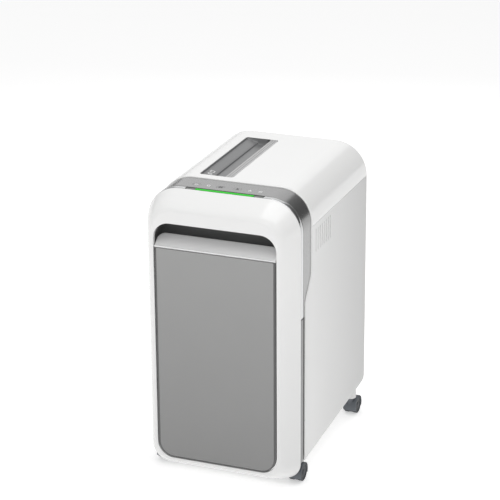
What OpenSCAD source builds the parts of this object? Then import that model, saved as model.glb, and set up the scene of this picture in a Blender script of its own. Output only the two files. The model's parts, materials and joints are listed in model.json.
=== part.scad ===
// Office paper shredder with a side-fed slot, a pull-out bin and four casters.
// Frame: origin on the floor under the middle of the case, +Z up, front towards -Y, millimetres.

/* [Case] */
// Width of the case
case_w = 352; // [330:1:380]
// Depth of the case, from the front face to the rear rim
case_d = 480; // [470:1:500]
// Height of the top above the floor
case_h = 655; // [640:1:680]
// Height of the underside above the floor
base_z = 46; // [46:1:52]
// Radius of the two top edges
top_r = 75; // [60:1:80]
// Radius of the two bottom edges at the rear
bottom_r = 45; // [35:1:50]
// Radius of the two bottom edges at the front
front_bottom_r = 12; // [10:1:30]
// Wall of the moulded casings
wall = 3; // [2.5:0.5:4]
// Height of the seam between the top cover and the side panels
seam_z = 580; // [575:1:585]

/* [Front] */
// Depth of the front shell, from its face to the trim
front_depth = 55.6; // [50:0.2:58]
// Half width of the bin opening in the front shell
opening_half_w = 139; // [136:1:140]
// Underside of the bin opening
opening_low_z = 52; // [52:0.5:54]
// Top of the bin opening
opening_high_z = 591; // [588:1:594]
// Corner radius of the bin opening
opening_r = 37; // [34:1:40]
// Underside of the front shell's face
face_low_z = 48; // [47:0.5:49]
// Underside of the skirt at the shell's rear edge
skirt_z = 15; // [12:1:30]
// Radius of the front shell's bottom corners
skirt_r = 38; // [30:1:42]
// Height of the crease where the bin's face turns into its handle
crease_z = 538; // [530:1:542]
// Height of the handle's top edge
handle_z = 560; // [556:1:564]

/* [Trim] */
// Depth of the bright edge strip
edge_w = 13.6; // [12:0.2:15]
// Rear edge of the silver band on the sides
band_back_y = -126; // [-130:1:-124]
// How much further back the band reaches on the top
band_bow = 16; // [0:1:18]
// Height where the band starts to narrow
taper_high_z = 480; // [470:1:490]
// Height where the band has run out
taper_low_z = 416; // [400:1:420]
// Height of the gap between the upper and lower edge strips
strip_gap_z = 390; // [380:1:394]

/* [Slot] */
// Left edge of the entry insert
insert_x0 = -95; // [-97:1:-93]
// Right edge of the entry insert
insert_x1 = -17; // [-18:1:-15]
// Front edge of the entry insert
insert_y0 = -89; // [-91:1:-88]
// Rear edge of the entry insert
insert_y1 = 190; // [188:1:192]
// Middle of the paper throat
throat_x = -41; // [-42:0.5:-40]
// Width of the paper throat
throat_w = 6; // [5:0.5:7]

/* [Cutters] */
// Distance between the two cutter shafts
cutter_gap = 42; // [42:1:42]
// Height of the cutter shafts
cutter_z = 505; // [500:1:508]
// Tip radius of a cutting disc
disc_r = 24; // [23.5:0.1:24.2]
// Radius of the spacer hub beside each disc
hub_r = 17; // [16:0.5:17]
// Thickness of a cutting disc
disc_t = 3.6; // [3:0.1:3.7]
// Distance from one disc to the next on a shaft
disc_pitch = 8; // [8:1:8]
// Number of discs on each shaft
disc_count = 36; // [30:1:36]

/* [Bin] */
// Half width of the bin tub
tub_half_w = 130; // [124:1:131]
// Height of the tub's rim
tub_top_z = 420; // [380:1:422]
// Inner end of the tub
tub_back_y = 198; // [180:1:200]

/* [Casters] */
// Distance from the middle to a caster's stem, across
caster_x = 156; // [150:1:158]
// Stem of the front casters
caster_front_y = -140; // [-145:1:-136]
// Stem of the rear casters
caster_rear_y = 201; // [195:1:202]
// Radius of a caster wheel
wheel_r = 20; // [18:0.5:20]
// Distance from the stem to the axle
trail = 15; // [12:1:16]

/* [Hidden] */
$fn = 64;
eps = 0.01;
half_w = case_w / 2;
half_d = case_d / 2;
front_y = -half_d;
rear_y = half_d;
shell_back_y = front_y + front_depth;
edge_front_y = shell_back_y + 0.4;
edge_back_y = edge_front_y + edge_w;
band_front_y = edge_back_y + 0.4;
side_front_y = edge_back_y + 8.4;
part_gap = 0.4;

// Front shell: how far the outline draws in, and how far back it lies, from the face to the trim.
shell_profile = [[36, 0], [33, 1], [25, 6], [18.5, 14], [12, 26], [6, 40], [0, front_depth]];
top_draw = 1.06;

// Slot and cutters.
cutter_left_x = throat_x - cutter_gap / 2;
cutter_right_x = throat_x + cutter_gap / 2;
plate_t = 4;
plate_front_y = -118;
plate_rear_y = 190;
cutter_y0 = -105;
shaft_r = 10;
journal_r = 8;
bush_r = 13;
running = 0.05;

// Gear train, seen from the front: module, teeth, and the place of each axis.
pressure = 25;
addendum = 0.8;
dedendum = 1.05;
backlash = 0.16;
timing_m = 1.5;
timing_teeth = 28;
last_m = 2;
drive_teeth = 42;
last_pinion = 14;
mid_m = 1.5;
mid_teeth = 49;
mid_pinion = 14;
first_m = 1;
first_teeth = 60;
motor_teeth = 12;
angle_drive = 20;
angle_mid = -15;
angle_first = -40;
drive_axis = [cutter_right_x, cutter_z];
second_axis = drive_axis + last_m * (drive_teeth + last_pinion) / 2 * [cos(angle_drive), sin(angle_drive)];
first_axis = second_axis + mid_m * (mid_teeth + mid_pinion) / 2 * [cos(angle_mid), sin(angle_mid)];
motor_axis = first_axis + first_m * (first_teeth + motor_teeth) / 2 * [cos(angle_first), sin(angle_first)];
gear_layers = [[197, 209], [211, 219], [221, 228]];
timing_layer = [-134, -122];
idler_pin_r = 5;

// Flag in the throat that starts the motor.
flag_axis = [-26, 598];
flag_y0 = -97.5;
flag_y1 = -93.5;
flag_pin_r = 2;

// Motor.
motor_r = 42;
motor_y0 = 58;
motor_y1 = 189.5;
motor_shaft_r = 4;

// Controls on the band: middle of each button, across, and its size.
power_x = -75;
reverse_x = -20;
forward_x = 18;
button_y = -150;
button_w = 17;
button_d = 11;
light_half_w = 66;
light_end_w = 88;

// Base and bin.
deck_z = 430;
tray_top_z = 62;
rear_panel_y = rear_y - 6;
boss_r = 13;
stem_r = 5.5;
tub_low_z = 68;
tub_wall = 2.5;
tub_front_y = front_y + 5.6;
door_gap = 1.5;
face_y = front_y + 1.5;
face_t = 4;
switch_x = -125;
switch_z = 545;
rocker_y = rear_panel_y - 7;
rocker_rest = 9;
rocker_pin_r = 1.5;
gland_z = 485;
gland_bore_r = 3.75;

// 2D outline with two top radii and two bottom radii.
module outline(hw, low, high, rt, rb) {
    translate([-hw, low + rb]) square([2 * hw, high - low - rb - rt]);
    translate([-(hw - rt), high - rt - eps]) square([2 * (hw - rt), rt + eps]);
    translate([-(hw - rb), low]) square([2 * (hw - rb), rb + eps]);
    for (s = [-1, 1]) {
        translate([s * (hw - rt), high - rt]) circle(rt);
        translate([s * (hw - rb), low + rb]) circle(rb);
    }
}

// The case outline, drawn in by an even inset.
module case_outline(inset, rb = bottom_r) {
    outline(half_w - inset, base_z + inset, case_h - inset, top_r - inset, rb - inset);
}

module case_ring(inner, outer, rb = bottom_r) {
    difference() {
        case_outline(outer, rb);
        case_outline(inner, rb);
    }
}

// The case below the seam from y0 to y1: its bottom edges open out from the front to the rear.
module lower_body(inset, y0, y1) {
    hull() for (y = [y0, y1]) {
        rb = front_bottom_r + (bottom_r - front_bottom_r) * (y - side_front_y) / (rear_y - side_front_y);
        translate([0, y, 0]) rotate([90, 0, 0]) linear_extrude(eps)
            outline(half_w - inset, base_z + inset, seam_z + 20, 5, rb - inset, $fn = 40);
    }
}

// Stands a shape drawn in X and Z along Y.
module along_y(y0, y1) {
    translate([0, y1, 0]) rotate([90, 0, 0]) linear_extrude(y1 - y0) children();
}

// Stands a shape drawn in Y and Z along X.
module along_x(x0, x1) {
    translate([x0, 0, 0]) rotate([90, 0, 90]) linear_extrude(x1 - x0) children();
}

module box(x0, x1, y0, y1, z0, z1) {
    translate([x0, y0, z0]) cube([x1 - x0, y1 - y0, z1 - z0]);
}

module rod_y(x, z, r, y0, y1) {
    translate([x, y1, z]) rotate([90, 0, 0]) cylinder(r = r, h = y1 - y0);
}

module rod_x(y, z, r, x0, x1) {
    translate([x0, y, z]) rotate([0, 90, 0]) cylinder(r = r, h = x1 - x0);
}

module rounded_rect(w, d, r) {
    square([w - 2 * r, d], center = true);
    square([w, d - 2 * r], center = true);
    for (s = [-1, 1], t = [-1, 1]) translate([s * (w / 2 - r), t * (d / 2 - r)]) circle(r);
}

// Band as seen from the side: full on top, tapering down the side.
module band_side(front, back_shift) {
    polygon([[front, strip_gap_z + 1], [side_front_y + back_shift, strip_gap_z + 1],
        [side_front_y + back_shift, taper_low_z], [band_back_y + back_shift, taper_high_z],
        for (u = [0:0.1:1])
            [band_back_y + back_shift + band_bow * (1 - pow(1 - u, 1.7)), seam_z + u * (case_h - seam_z)],
        [band_back_y + back_shift + band_bow, case_h + 20], [front, case_h + 20]]);
}

// Casings.
module top_cover() {
    color("white") difference() {
        along_y(band_back_y, rear_y) intersection() {
            case_ring(wall, 0);
            translate([-half_w, seam_z]) square([case_w, case_h - seam_z]);
        }
        along_x(-half_w - 1, half_w + 1) band_side(side_front_y - 20, 0);
        translate([(insert_x0 + insert_x1) / 2, (insert_y0 + insert_y1) / 2, case_h - 20])
            linear_extrude(40) rounded_rect(insert_x1 - insert_x0, insert_y1 - insert_y0, 0.6);
    }
}

module side_panel(s) {
    vent_pitch = 13;
    color("gainsboro") difference() {
        union() {
            intersection() {
                difference() {
                    lower_body(0, side_front_y, rear_y);
                    lower_body(wall, side_front_y - 5, rear_y + 5);
                }
                box(s > 0 ? 118 : -half_w - 1, s > 0 ? half_w + 1 : -118, side_front_y - 1, rear_y + 1,
                    base_z - 1, seam_z - part_gap);
            }
            box(s > 0 ? 158 : -half_w + wall - eps, s > 0 ? half_w - wall + eps : -158,
                side_front_y + 4, rear_y - 10, deck_z - 6, deck_z - eps);
        }
        along_x(-half_w - 1, half_w + 1) band_side(side_front_y - 20, 0);
        for (k = [0:7])
            box(s > 0 ? half_w - 6 : -half_w - 1, s > 0 ? half_w + 1 : -half_w + 6,
                -101 + k * vent_pitch, -98 + k * vent_pitch, 515, 568);
        for (y = [caster_front_y, caster_rear_y])
            translate([s * caster_x, y, base_z - 2]) cylinder(r = boss_r + 0.4, h = 30);
    }
}

module rear_panel() {
    inset = wall + part_gap;
    color("gainsboro") difference() {
        along_y(rear_panel_y - wall, rear_panel_y) case_outline(inset);
        for (k = [0:11], row = [0:1])
            box(10 + k * 11, 15 + k * 11, rear_panel_y - 10, rear_panel_y + 1, 455 + row * 62, 507 + row * 62);
        box(switch_x - 14.4, switch_x + 14.4, rear_panel_y - 10, rear_panel_y + 1, switch_z - 10.9, switch_z + 10.9);
        rod_y(switch_x, gland_z, 7.4, rear_panel_y - 10, rear_panel_y + 1);
        for (p = screw_places()) rod_y(p[0], p[1], 2, rear_panel_y - 10, rear_panel_y + 1);
    }
}

function screw_places() = [for (x = [-150, 150], z = [110, 330, 560]) [x, z]];

module case_screws() {
    color("dimgray") for (p = screw_places()) {
        rod_y(p[0], p[1], 1.9, rear_panel_y - 14, rear_panel_y);
        difference() {
            rod_y(p[0], p[1], 3.8, rear_panel_y, rear_panel_y + 2.4);
            box(p[0] - 3, p[0] + 3, rear_panel_y + 1.2, rear_panel_y + 3, p[1] - 0.5, p[1] + 0.5);
            box(p[0] - 0.5, p[0] + 0.5, rear_panel_y + 1.2, rear_panel_y + 3, p[1] - 3, p[1] + 3);
        }
    }
}

module base_tray() {
    color("whitesmoke") difference() {
        union() {
            intersection() {
                lower_body(wall + 0.6, -174, rear_panel_y - 4);
                box(-half_w, half_w, -175, rear_panel_y, base_z, tray_top_z);
            }
            for (x = [-caster_x, caster_x], y = [caster_front_y, caster_rear_y])
                translate([x, y, base_z - 2]) cylinder(r = boss_r, h = 30);
        }
        box(-134, 134, -168, rear_panel_y - 10, base_z + wall + 2, tray_top_z + 1);
        for (x = [-caster_x, caster_x], y = [caster_front_y, caster_rear_y])
            translate([x, y, base_z - 3]) cylinder(r = stem_r + running, h = 24);
    }
}

// One slice of the front shell's form, grown inwards by skin.
module shell_slice(step, skin) {
    inset = step[0] + skin;
    translate([0, front_y + step[1] + skin, 0]) rotate([90, 0, 0]) linear_extrude(0.01)
        outline(half_w - inset, skirt_z + (face_low_z - skirt_z) * step[0] / 36 + skin,
            case_h - step[0] * top_draw - skin, top_r - inset * 0.85, skirt_r - skin, $fn = 40);
}

module front_shell() {
    color("white") difference() {
        hull() for (step = shell_profile) shell_slice(step, 0, $fn = 40);
        hull() {
            for (step = shell_profile) shell_slice(step, wall, $fn = 40);
            translate([0, 6, 0]) shell_slice(shell_profile[6], wall, $fn = 40);
        }
        along_y(front_y - 5, shell_back_y - 10)
            outline(opening_half_w, opening_low_z, opening_high_z, opening_r, opening_r);
    }
}

module button_hole(x, grow) {
    translate([x, button_y, case_h - 12]) linear_extrude(24)
        rounded_rect(button_w + 2 * grow, button_d + 2 * grow, 3 + grow);
}

module trim_band() {
    color("silver") difference() {
        intersection() {
            along_y(band_front_y, band_back_y + band_bow - part_gap) case_ring(wall, 0);
            along_x(-half_w - 1, half_w + 1) band_side(band_front_y, -part_gap);
        }
        for (x = [power_x, reverse_x, forward_x]) button_hole(x, 0.35);
    }
}

module edge_strip_upper() {
    color("lightgray") difference() {
        along_y(edge_front_y, edge_back_y) intersection() {
            case_ring(wall, 0);
            translate([-half_w, strip_gap_z + 1]) square([case_w, case_h]);
        }
        box(-light_end_w - 0.4, light_end_w + 0.4, edge_front_y - 1, edge_back_y + 1, case_h - 20, case_h + 1);
    }
}

module edge_strip_lower() {
    low = base_z + 3;
    color("lightgray") for (s = [-1, 1]) along_y(edge_front_y, side_front_y - part_gap) intersection() {
        case_ring(wall, 0, front_bottom_r);
        translate([s > 0 ? half_w - 30 : -half_w, low]) square([30, strip_gap_z - 1 - low]);
    }
}

module light_housing() {
    color("darkslategray") difference() {
        box(-light_end_w, light_end_w, edge_front_y, edge_back_y, case_h - 8, case_h);
        box(-light_half_w, light_half_w, edge_front_y - 1, edge_front_y + 11.6, case_h - 6, case_h + 1);
    }
}

module light_lens() {
    color("limegreen")
        box(-light_half_w + 0.3, light_half_w - 0.3, edge_front_y, edge_front_y + 11.4, case_h - 5.8, case_h - 0.2);
}

module button(x) {
    color("silver") union() {
        translate([x, button_y, case_h - wall]) linear_extrude(wall) rounded_rect(button_w, button_d, 3);
        translate([x, button_y, case_h - 14]) cylinder(r = 2, h = 14 - wall + eps);
    }
}

module slot_insert() {
    low = case_h - 21;
    left = throat_x - throat_w / 2;
    right = throat_x + throat_w / 2;
    y0 = insert_y0 + 0.3;
    y1 = insert_y1 - 0.3;
    color("silver") union() {
        along_y(y0, y1) polygon([[insert_x0 + 0.3, case_h], [left - 7, case_h - 13], [left, low + 3], [left, low],
            [left - 4, low], [left - 9, case_h - 16], [insert_x0 + 0.3, case_h - 3.2]]);
        along_y(y0, y1) polygon([[insert_x1 - 0.3, case_h], [insert_x1 - 5, case_h], [insert_x1 - 5, case_h - 1.2],
            [insert_x1 - 11, case_h - 1.2], [insert_x1 - 11, case_h - 2.4], [insert_x1 - 16, case_h - 2.4],
            [right, case_h - 6], [right, low], [right + 3, low], [right + 3, case_h - 7],
            [insert_x1 - 11, case_h - 5.4], [insert_x1 - 0.3, case_h - 4.2]]);
        for (y = [y0, y1 - 3])
            along_y(y, y + 3) polygon([[insert_x0 + 4, case_h - 1], [insert_x1 - 4, case_h - 1],
                [insert_x1 - 8, case_h - 4], [right + 2, low], [left - 2, low], [left - 8, case_h - 14.5],
                [insert_x0 + 4, case_h - 4]]);
    }
}

module recess_liner() {
    top = opening_high_z + 1.5;
    back = -176;
    color("darkslategray") union() {
        along_x(-142.5, 142.5) polygon([[front_y + 12, top], [back, top], [back, deck_z + 8], [back + 3, deck_z + 8],
            [back + 3, top + 3], [front_y + 12, top + 3]]);
        for (s = [-1, 1])
            box(s > 0 ? 140 : -142.5, s > 0 ? 142.5 : -140, front_y + 12, back + eps, deck_z + 8, top + eps);
    }
}

// Bin.
module bin_front() {
    hw = opening_half_w - door_gap;
    color("silver") intersection() {
        along_x(-hw, hw) polygon([[face_y, opening_low_z + door_gap], [face_y, crease_z], [front_y + 27, handle_z],
            [front_y + 33, handle_z], [front_y + 33, handle_z - 32], [front_y + 29, handle_z - 32],
            [front_y + 29, handle_z - 5], [front_y + 27, handle_z - 5], [face_y + face_t, crease_z - 3],
            [face_y + face_t, opening_low_z + door_gap]]);
        along_y(front_y - 1, front_y + 40)
            outline(hw, opening_low_z + door_gap, handle_z + eps, 20, opening_r - door_gap);
    }
}

module bin_panel() {
    rim = 4.5;
    color("darkgray") along_y(front_y, face_y) outline(opening_half_w - door_gap - rim,
        opening_low_z + door_gap + rim, crease_z - 4, 3, opening_r - door_gap - rim);
}

module bin_tub() {
    rim = 5;
    color("dimgray") difference() {
        union() {
            along_y(tub_front_y, tub_back_y) outline(tub_half_w, tub_low_z, tub_top_z, 0.5, 28);
            along_y(tub_front_y + 2, tub_back_y + rim) outline(tub_half_w + rim, tub_top_z - 4, tub_top_z, 0.5, 0.5);
        }
        along_y(tub_front_y + tub_wall, tub_back_y - tub_wall)
            outline(tub_half_w - tub_wall, tub_low_z + tub_wall, tub_top_z + 1, 0.4, 28 - tub_wall);
    }
}

module bin_rails() {
    color("gray") for (s = [-1, 1]) union() {
        box(s * 92 - 6, s * 92 + 6, -160, rear_panel_y - 14, base_z + wall + 2, tub_low_z - 0.6);
        box(s * 92 - 11, s * 92 + 11, rear_panel_y - 20, rear_panel_y - 14, base_z + wall + 2, tub_low_z + 30);
    }
}

// Cutting head.
module head_deck() {
    color("lightslategray") difference() {
        union() {
            box(-half_w + wall + 0.4, half_w - wall - 0.4, -172, rear_panel_y - wall - 2, deck_z, deck_z + 3);
            box(-100, 14, plate_front_y + plate_t + 0.4, plate_rear_y - 0.4, deck_z + 3 - eps, deck_z + 14);
        }
        box(-92, 6, plate_front_y + 10, plate_rear_y - 8, deck_z - 1, deck_z + 20);
    }
}

module plate_shape(x1) {
    translate([-102, deck_z + 3.2]) square([x1 + 102, 575 - deck_z - 3.2]);
}

function rod_places() = [[-94, 563], [18, 563], [-95, 456], [9, 456]];

module shaft_holes(y0, y1) {
    for (x = [cutter_left_x, cutter_right_x]) rod_y(x, cutter_z, bush_r + 0.02, y0 - 1, y1 + 1);
    for (p = rod_places()) rod_y(p[0], p[1], 3 + running, y0 - 1, y1 + 1);
}

module frame_plate_front() {
    color("slategray") difference() {
        along_y(plate_front_y, plate_front_y + plate_t) plate_shape(32);
        shaft_holes(plate_front_y, plate_front_y + plate_t);
    }
}

module frame_plate_rear() {
    color("slategray") difference() {
        along_y(plate_rear_y, plate_rear_y + plate_t) plate_shape(146);
        shaft_holes(plate_rear_y, plate_rear_y + plate_t);
        rod_y(motor_axis[0], motor_axis[1], 14, plate_rear_y - 1, plate_rear_y + plate_t + 1);
        for (a = [second_axis, first_axis])
            rod_y(a[0], a[1], idler_pin_r + 0.02, plate_rear_y - 1, plate_rear_y + plate_t + 1);
    }
}

module tie_rods() {
    color("silver") for (p = rod_places()) {
        rod_y(p[0], p[1], 5, plate_front_y + plate_t + 0.1, plate_rear_y - 0.1);
        rod_y(p[0], p[1], 3, plate_front_y - 7, plate_front_y + plate_t + 0.1 + eps);
        rod_y(p[0], p[1], 3, plate_rear_y - 0.1 - eps, plate_rear_y + plate_t + 2.4);
    }
}

module cutter_shaft(x, front_end, rear_end) {
    disc_y0 = cutter_y0 - 3;
    disc_y1 = cutter_y0 + disc_count * disc_pitch + 2;
    color("silver") union() {
        rod_y(x, cutter_z, shaft_r, disc_y0, disc_y1);
        rod_y(x, cutter_z, journal_r, front_end, disc_y0 + eps);
        rod_y(x, cutter_z, journal_r, disc_y1 - eps, rear_end);
    }
}

// A disc with hooked teeth, each with a steep leading face and a sloping back.
module disc_shape(teeth) {
    polygon([for (k = [0:teeth - 1], q = [0:2])
        let (a = 360 / teeth * (k + [0, 0.12, 0.9][q]), r = [disc_r - 3.2, disc_r, disc_r - 1][q])
            [r * cos(a), r * sin(a)]]);
}

module cutter_discs(x, shift, lead) {
    color("gainsboro") for (k = [0:disc_count - 1]) {
        y = cutter_y0 + shift + k * disc_pitch;
        difference() {
            union() {
                translate([x, y + disc_t, cutter_z]) rotate([90, 0, 0]) rotate(k * lead)
                    linear_extrude(disc_t) disc_shape(10);
                rod_y(x, cutter_z, hub_r, y, y + (k < disc_count - 1 ? disc_pitch - 0.05 : disc_t));
            }
            rod_y(x, cutter_z, shaft_r + 0.02, y - 1, y + disc_pitch + 1);
        }
    }
}

module shaft_bushes() {
    color("goldenrod") for (x = [cutter_left_x, cutter_right_x], y = [plate_front_y, plate_rear_y])
        difference() {
            rod_y(x, cutter_z, bush_r, y - 1.5, y + plate_t + 1.5);
            rod_y(x, cutter_z, journal_r + running, y - 3, y + plate_t + 3);
        }
}

// Fingers reach between the discs and scrape the shreds off.
module stripper_comb(x, s, shift) {
    bar_x = x + s * (disc_r + 4);
    color("darkslategray") difference() {
        union() {
            box(min(bar_x, bar_x + s * 6), max(bar_x, bar_x + s * 6), plate_front_y + plate_t + 0.3,
                plate_rear_y - 0.3, cutter_z - 14, cutter_z + 10);
            for (k = [0:disc_count - 2]) {
                y = cutter_y0 + shift + disc_t + 0.7 + k * disc_pitch;
                box(min(x + s * 10, bar_x + s), max(x + s * 10, bar_x + s), y, y + disc_pitch - disc_t - 1.4,
                    cutter_z - 10, cutter_z + 6);
            }
        }
        rod_y(x, cutter_z, hub_r + 0.5, plate_front_y, plate_rear_y);
    }
}

// Guides above the nip. The right one carries the pivot of the flag that feels the paper.
module throat_guides() {
    y0 = plate_front_y + plate_t + 0.3;
    y1 = plate_rear_y - 0.3;
    left = throat_x - throat_w / 2;
    right = throat_x + throat_w / 2;
    color("gray") {
        along_y(y0, y1) polygon([[left - 12, case_h - 30], [left - 0.4, case_h - 38], [left - 0.4, 531], [left - 4, 533],
            [left - 4, case_h - 42], [left - 12, case_h - 34]]);
        union() {
            difference() {
                along_y(y0, y1) polygon([[right + 12, case_h - 30], [right + 0.4, case_h - 38], [right + 0.4, 531],
                    [right + 4, 533], [right + 4, case_h - 42], [right + 12, case_h - 34]]);
                box(right - 2, right + 20, flag_y0 - 1.5, flag_y1 + 1.5, 560, case_h - 28);
            }
            for (y = [flag_y0 - 4.5, flag_y1 + 1.5])
                box(right + 3, flag_axis[0] + 5, y, y + 3, flag_axis[1] - 5, flag_axis[1] + 5);
            rod_y(flag_axis[0], flag_axis[1], flag_pin_r, flag_y0 - 4, flag_y1 + 4);
        }
    }
}

module start_flag() {
    color("black") difference() {
        union() {
            rod_y(flag_axis[0], flag_axis[1], 4.5, flag_y0, flag_y1);
            box(throat_x - 2, flag_axis[0], flag_y0, flag_y1, flag_axis[1] - 3, flag_axis[1]);
        }
        rod_y(flag_axis[0], flag_axis[1], flag_pin_r + running, flag_y0 - 1, flag_y1 + 1);
    }
}

// Gears. Half the angle that a tooth spans at radius r, in degrees.
function inv(a) = tan(a) * 180 / PI - a;
function tooth_half(m, z, r) = 90 / z - backlash / 2 / (m * z / 2) * 180 / PI + inv(pressure)
    - inv(acos(min(1, m * z / 2 * cos(pressure) / r)));
function tooth_radii(m, z) = let (rb = m * z / 2 * cos(pressure), rr = m * z / 2 - dedendum * m,
    ra = m * z / 2 + addendum * m, r0 = max(rb, rr), n = 4) [for (k = [0:n]) r0 + (ra - r0) * k / n];
function gear_points(m, z) = let (radii = tooth_radii(m, z), rr = m * z / 2 - dedendum * m,
    n = len(radii) - 1, foot = tooth_half(m, z, radii[0]))
    [for (t = [0:z - 1]) let (c = 360 / z * t) each concat(
        [[rr * cos(c - foot), rr * sin(c - foot)]],
        [for (k = [0:n]) radii[k] * [cos(c - tooth_half(m, z, radii[k])), sin(c - tooth_half(m, z, radii[k]))]],
        [for (k = [n:-1:0]) radii[k] * [cos(c + tooth_half(m, z, radii[k])), sin(c + tooth_half(m, z, radii[k]))]],
        [[rr * cos(c + foot), rr * sin(c + foot)]])];

// The turn that puts gear B in mesh with gear A, whose own turn is known, along the line at angle.
function mesh_turn(za, turn_a, zb, angle) = angle + 180 + (180 - za * (turn_a - angle)) / zb;

timing_right_turn = mesh_turn(timing_teeth, 0, timing_teeth, 0);
second_pinion_turn = mesh_turn(drive_teeth, 0, last_pinion, angle_drive);
first_pinion_turn = mesh_turn(mid_teeth, 0, mid_pinion, angle_mid);
motor_pinion_turn = mesh_turn(first_teeth, 0, motor_teeth, angle_first);

module spur(axis, m, z, turn, layer) {
    translate([axis[0], layer[1], axis[1]]) rotate([90, 0, 0]) rotate(turn)
        linear_extrude(layer[1] - layer[0]) polygon(gear_points(m, z));
}

module timing_gear(x, turn) {
    color("dimgray") difference() {
        spur([x, cutter_z], timing_m, timing_teeth, turn, timing_layer);
        rod_y(x, cutter_z, journal_r + 0.02, timing_layer[0] - 1, timing_layer[1] + 1);
    }
}

module drive_gear() {
    color("dimgray") difference() {
        spur(drive_axis, last_m, drive_teeth, 0, gear_layers[0]);
        rod_y(drive_axis[0], drive_axis[1], journal_r + 0.02, gear_layers[0][0] - 1, gear_layers[0][1] + 1);
        for (k = [0:5]) {
            hole = drive_axis + 25 * [cos(60 * k), sin(60 * k)];
            rod_y(hole[0], hole[1], 8, gear_layers[0][0] - 1, gear_layers[0][1] + 1);
        }
    }
}

// Wheel in one layer, pinion in the layer before it, and a hub between them.
module compound(axis, wheel_m, wheel_z, wheel_layer, pinion_m, pinion_z, pinion_turn, pinion_layer) {
    difference() {
        union() {
            spur(axis, wheel_m, wheel_z, 0, wheel_layer);
            spur(axis, pinion_m, pinion_z, pinion_turn, pinion_layer);
            rod_y(axis[0], axis[1], 8, pinion_layer[1] - eps, wheel_layer[0] + eps);
        }
        rod_y(axis[0], axis[1], idler_pin_r + running, pinion_layer[0] - 1, wheel_layer[1] + 1);
    }
}

module idler_gear_second() {
    color("ivory") compound(second_axis, mid_m, mid_teeth, gear_layers[1], last_m, last_pinion,
        second_pinion_turn, gear_layers[0]);
}

module idler_gear_first() {
    color("ivory") compound(first_axis, first_m, first_teeth, gear_layers[2], mid_m, mid_pinion,
        first_pinion_turn, gear_layers[1]);
}

module idler_pins() {
    color("silver") for (a = [second_axis, first_axis])
        rod_y(a[0], a[1], idler_pin_r, plate_rear_y + 0.5, gear_layers[2][1] + 2);
}

module gear_cover() {
    y0 = gear_layers[2][1] + 0.6;
    color("darkslategray") difference() {
        along_y(y0, y0 + 2.2) plate_shape(146);
        for (a = [second_axis, first_axis]) rod_y(a[0], a[1], idler_pin_r + 0.05, y0 - 1, y0 + 4);
    }
}

// Motor.
module motor_can() {
    x = motor_axis[0];
    z = motor_axis[1];
    color("lightslategray") difference() {
        rod_y(x, z, motor_r, motor_y0 + 22, motor_y1);
        rod_y(x, z, motor_r - 2.5, motor_y0 + 20, motor_y1 - 6);
        rod_y(x, z, motor_shaft_r + running, motor_y1 - 8, motor_y1 + 1);
    }
}

module motor_end_bell() {
    x = motor_axis[0];
    z = motor_axis[1];
    color("black") difference() {
        rod_y(x, z, motor_r, motor_y0, motor_y0 + 21.9);
        rod_y(x, z, motor_r - 3, motor_y0 + 3, motor_y0 + 23);
        rod_y(x, z, motor_shaft_r + running, motor_y0 - 1, motor_y0 + 5);
        for (k = [0:7]) {
            hole = motor_axis + 26 * [cos(45 * k), sin(45 * k)];
            rod_y(hole[0], hole[1], 6, motor_y0 - 1, motor_y0 + 4);
        }
    }
}

module motor_shaft() {
    color("silver") difference() {
        union() {
            rod_y(motor_axis[0], motor_axis[1], motor_shaft_r, motor_y0 + 1, gear_layers[2][0] + eps);
            rod_y(motor_axis[0], motor_axis[1], 33, motor_y0 + 36, motor_y1 - 20);
            spur(motor_axis, first_m, motor_teeth, motor_pinion_turn, gear_layers[2]);
        }
    }
}

module motor_fan() {
    blades = 9;
    color("black") difference() {
        union() {
            rod_y(motor_axis[0], motor_axis[1], 10, motor_y0 + 6, motor_y0 + 19);
            for (k = [0:blades - 1])
                translate([motor_axis[0], motor_y0 + 12.5, motor_axis[1]]) rotate([0, 360 / blades * k, 0])
                    translate([9, 0, 0]) rotate([35, 0, 0]) translate([0, -6.5, -0.8]) cube([26, 13, 1.6]);
        }
        rod_y(motor_axis[0], motor_axis[1], motor_shaft_r + 0.02, motor_y0, motor_y0 + 21);
    }
}

// Electrics.
module control_board() {
    z = case_h - 20;
    color("darkgreen") union() {
        box(-100, 100, band_front_y + 2, band_back_y - 3, z, z + 1.6);
        box(45, 62, -150, -138, z - 4, z + eps);
        box(-60, -38, -146, -134, z - 6, z + eps);
        for (x = [power_x, reverse_x, forward_x]) box(x - 3, x + 3, button_y - 3, button_y + 3, z + 1.6 - eps, z + 4.4);
    }
}

module power_board() {
    color("darkgreen") union() {
        box(40, 150, -100, 30, deck_z + 10, deck_z + 11.6);
        box(52, 84, -80, -48, deck_z + 11.6 - eps, deck_z + 40);
        box(98, 118, -84, -30, deck_z + 11.6 - eps, deck_z + 46);
        translate([70, -15, deck_z + 11.6 - eps]) cylinder(r = 13, h = 34);
        translate([106, 2, deck_z + 11.6 - eps]) cylinder(r = 9, h = 26);
        for (x = [46, 144], y = [-94, 24]) translate([x, y, deck_z + 3]) cylinder(r = 3, h = 7 + eps);
    }
}

module interlock_switch() {
    color("black") union() {
        box(100, 128, 150, 161, tub_top_z + 2.5, deck_z - 0.2);
        box(110, 113, 153, 158, tub_top_z + 0.5, tub_top_z + 3);
    }
}

module mains_switch_body() {
    color("black") difference() {
        union() {
            box(switch_x - 14, switch_x + 14, rear_panel_y - 24, rear_panel_y + 0.5, switch_z - 10.5, switch_z + 10.5);
            box(switch_x - 16.5, switch_x + 16.5, rear_panel_y, rear_panel_y + 1.8, switch_z - 13, switch_z + 13);
        }
        box(switch_x - 11.5, switch_x + 11.5, rear_panel_y - 14, rear_panel_y + 3, switch_z - 8, switch_z + 8);
        translate([switch_x, rocker_y, switch_z]) cylinder(r = rocker_pin_r + running, h = 19.6, center = true);
    }
}

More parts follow.
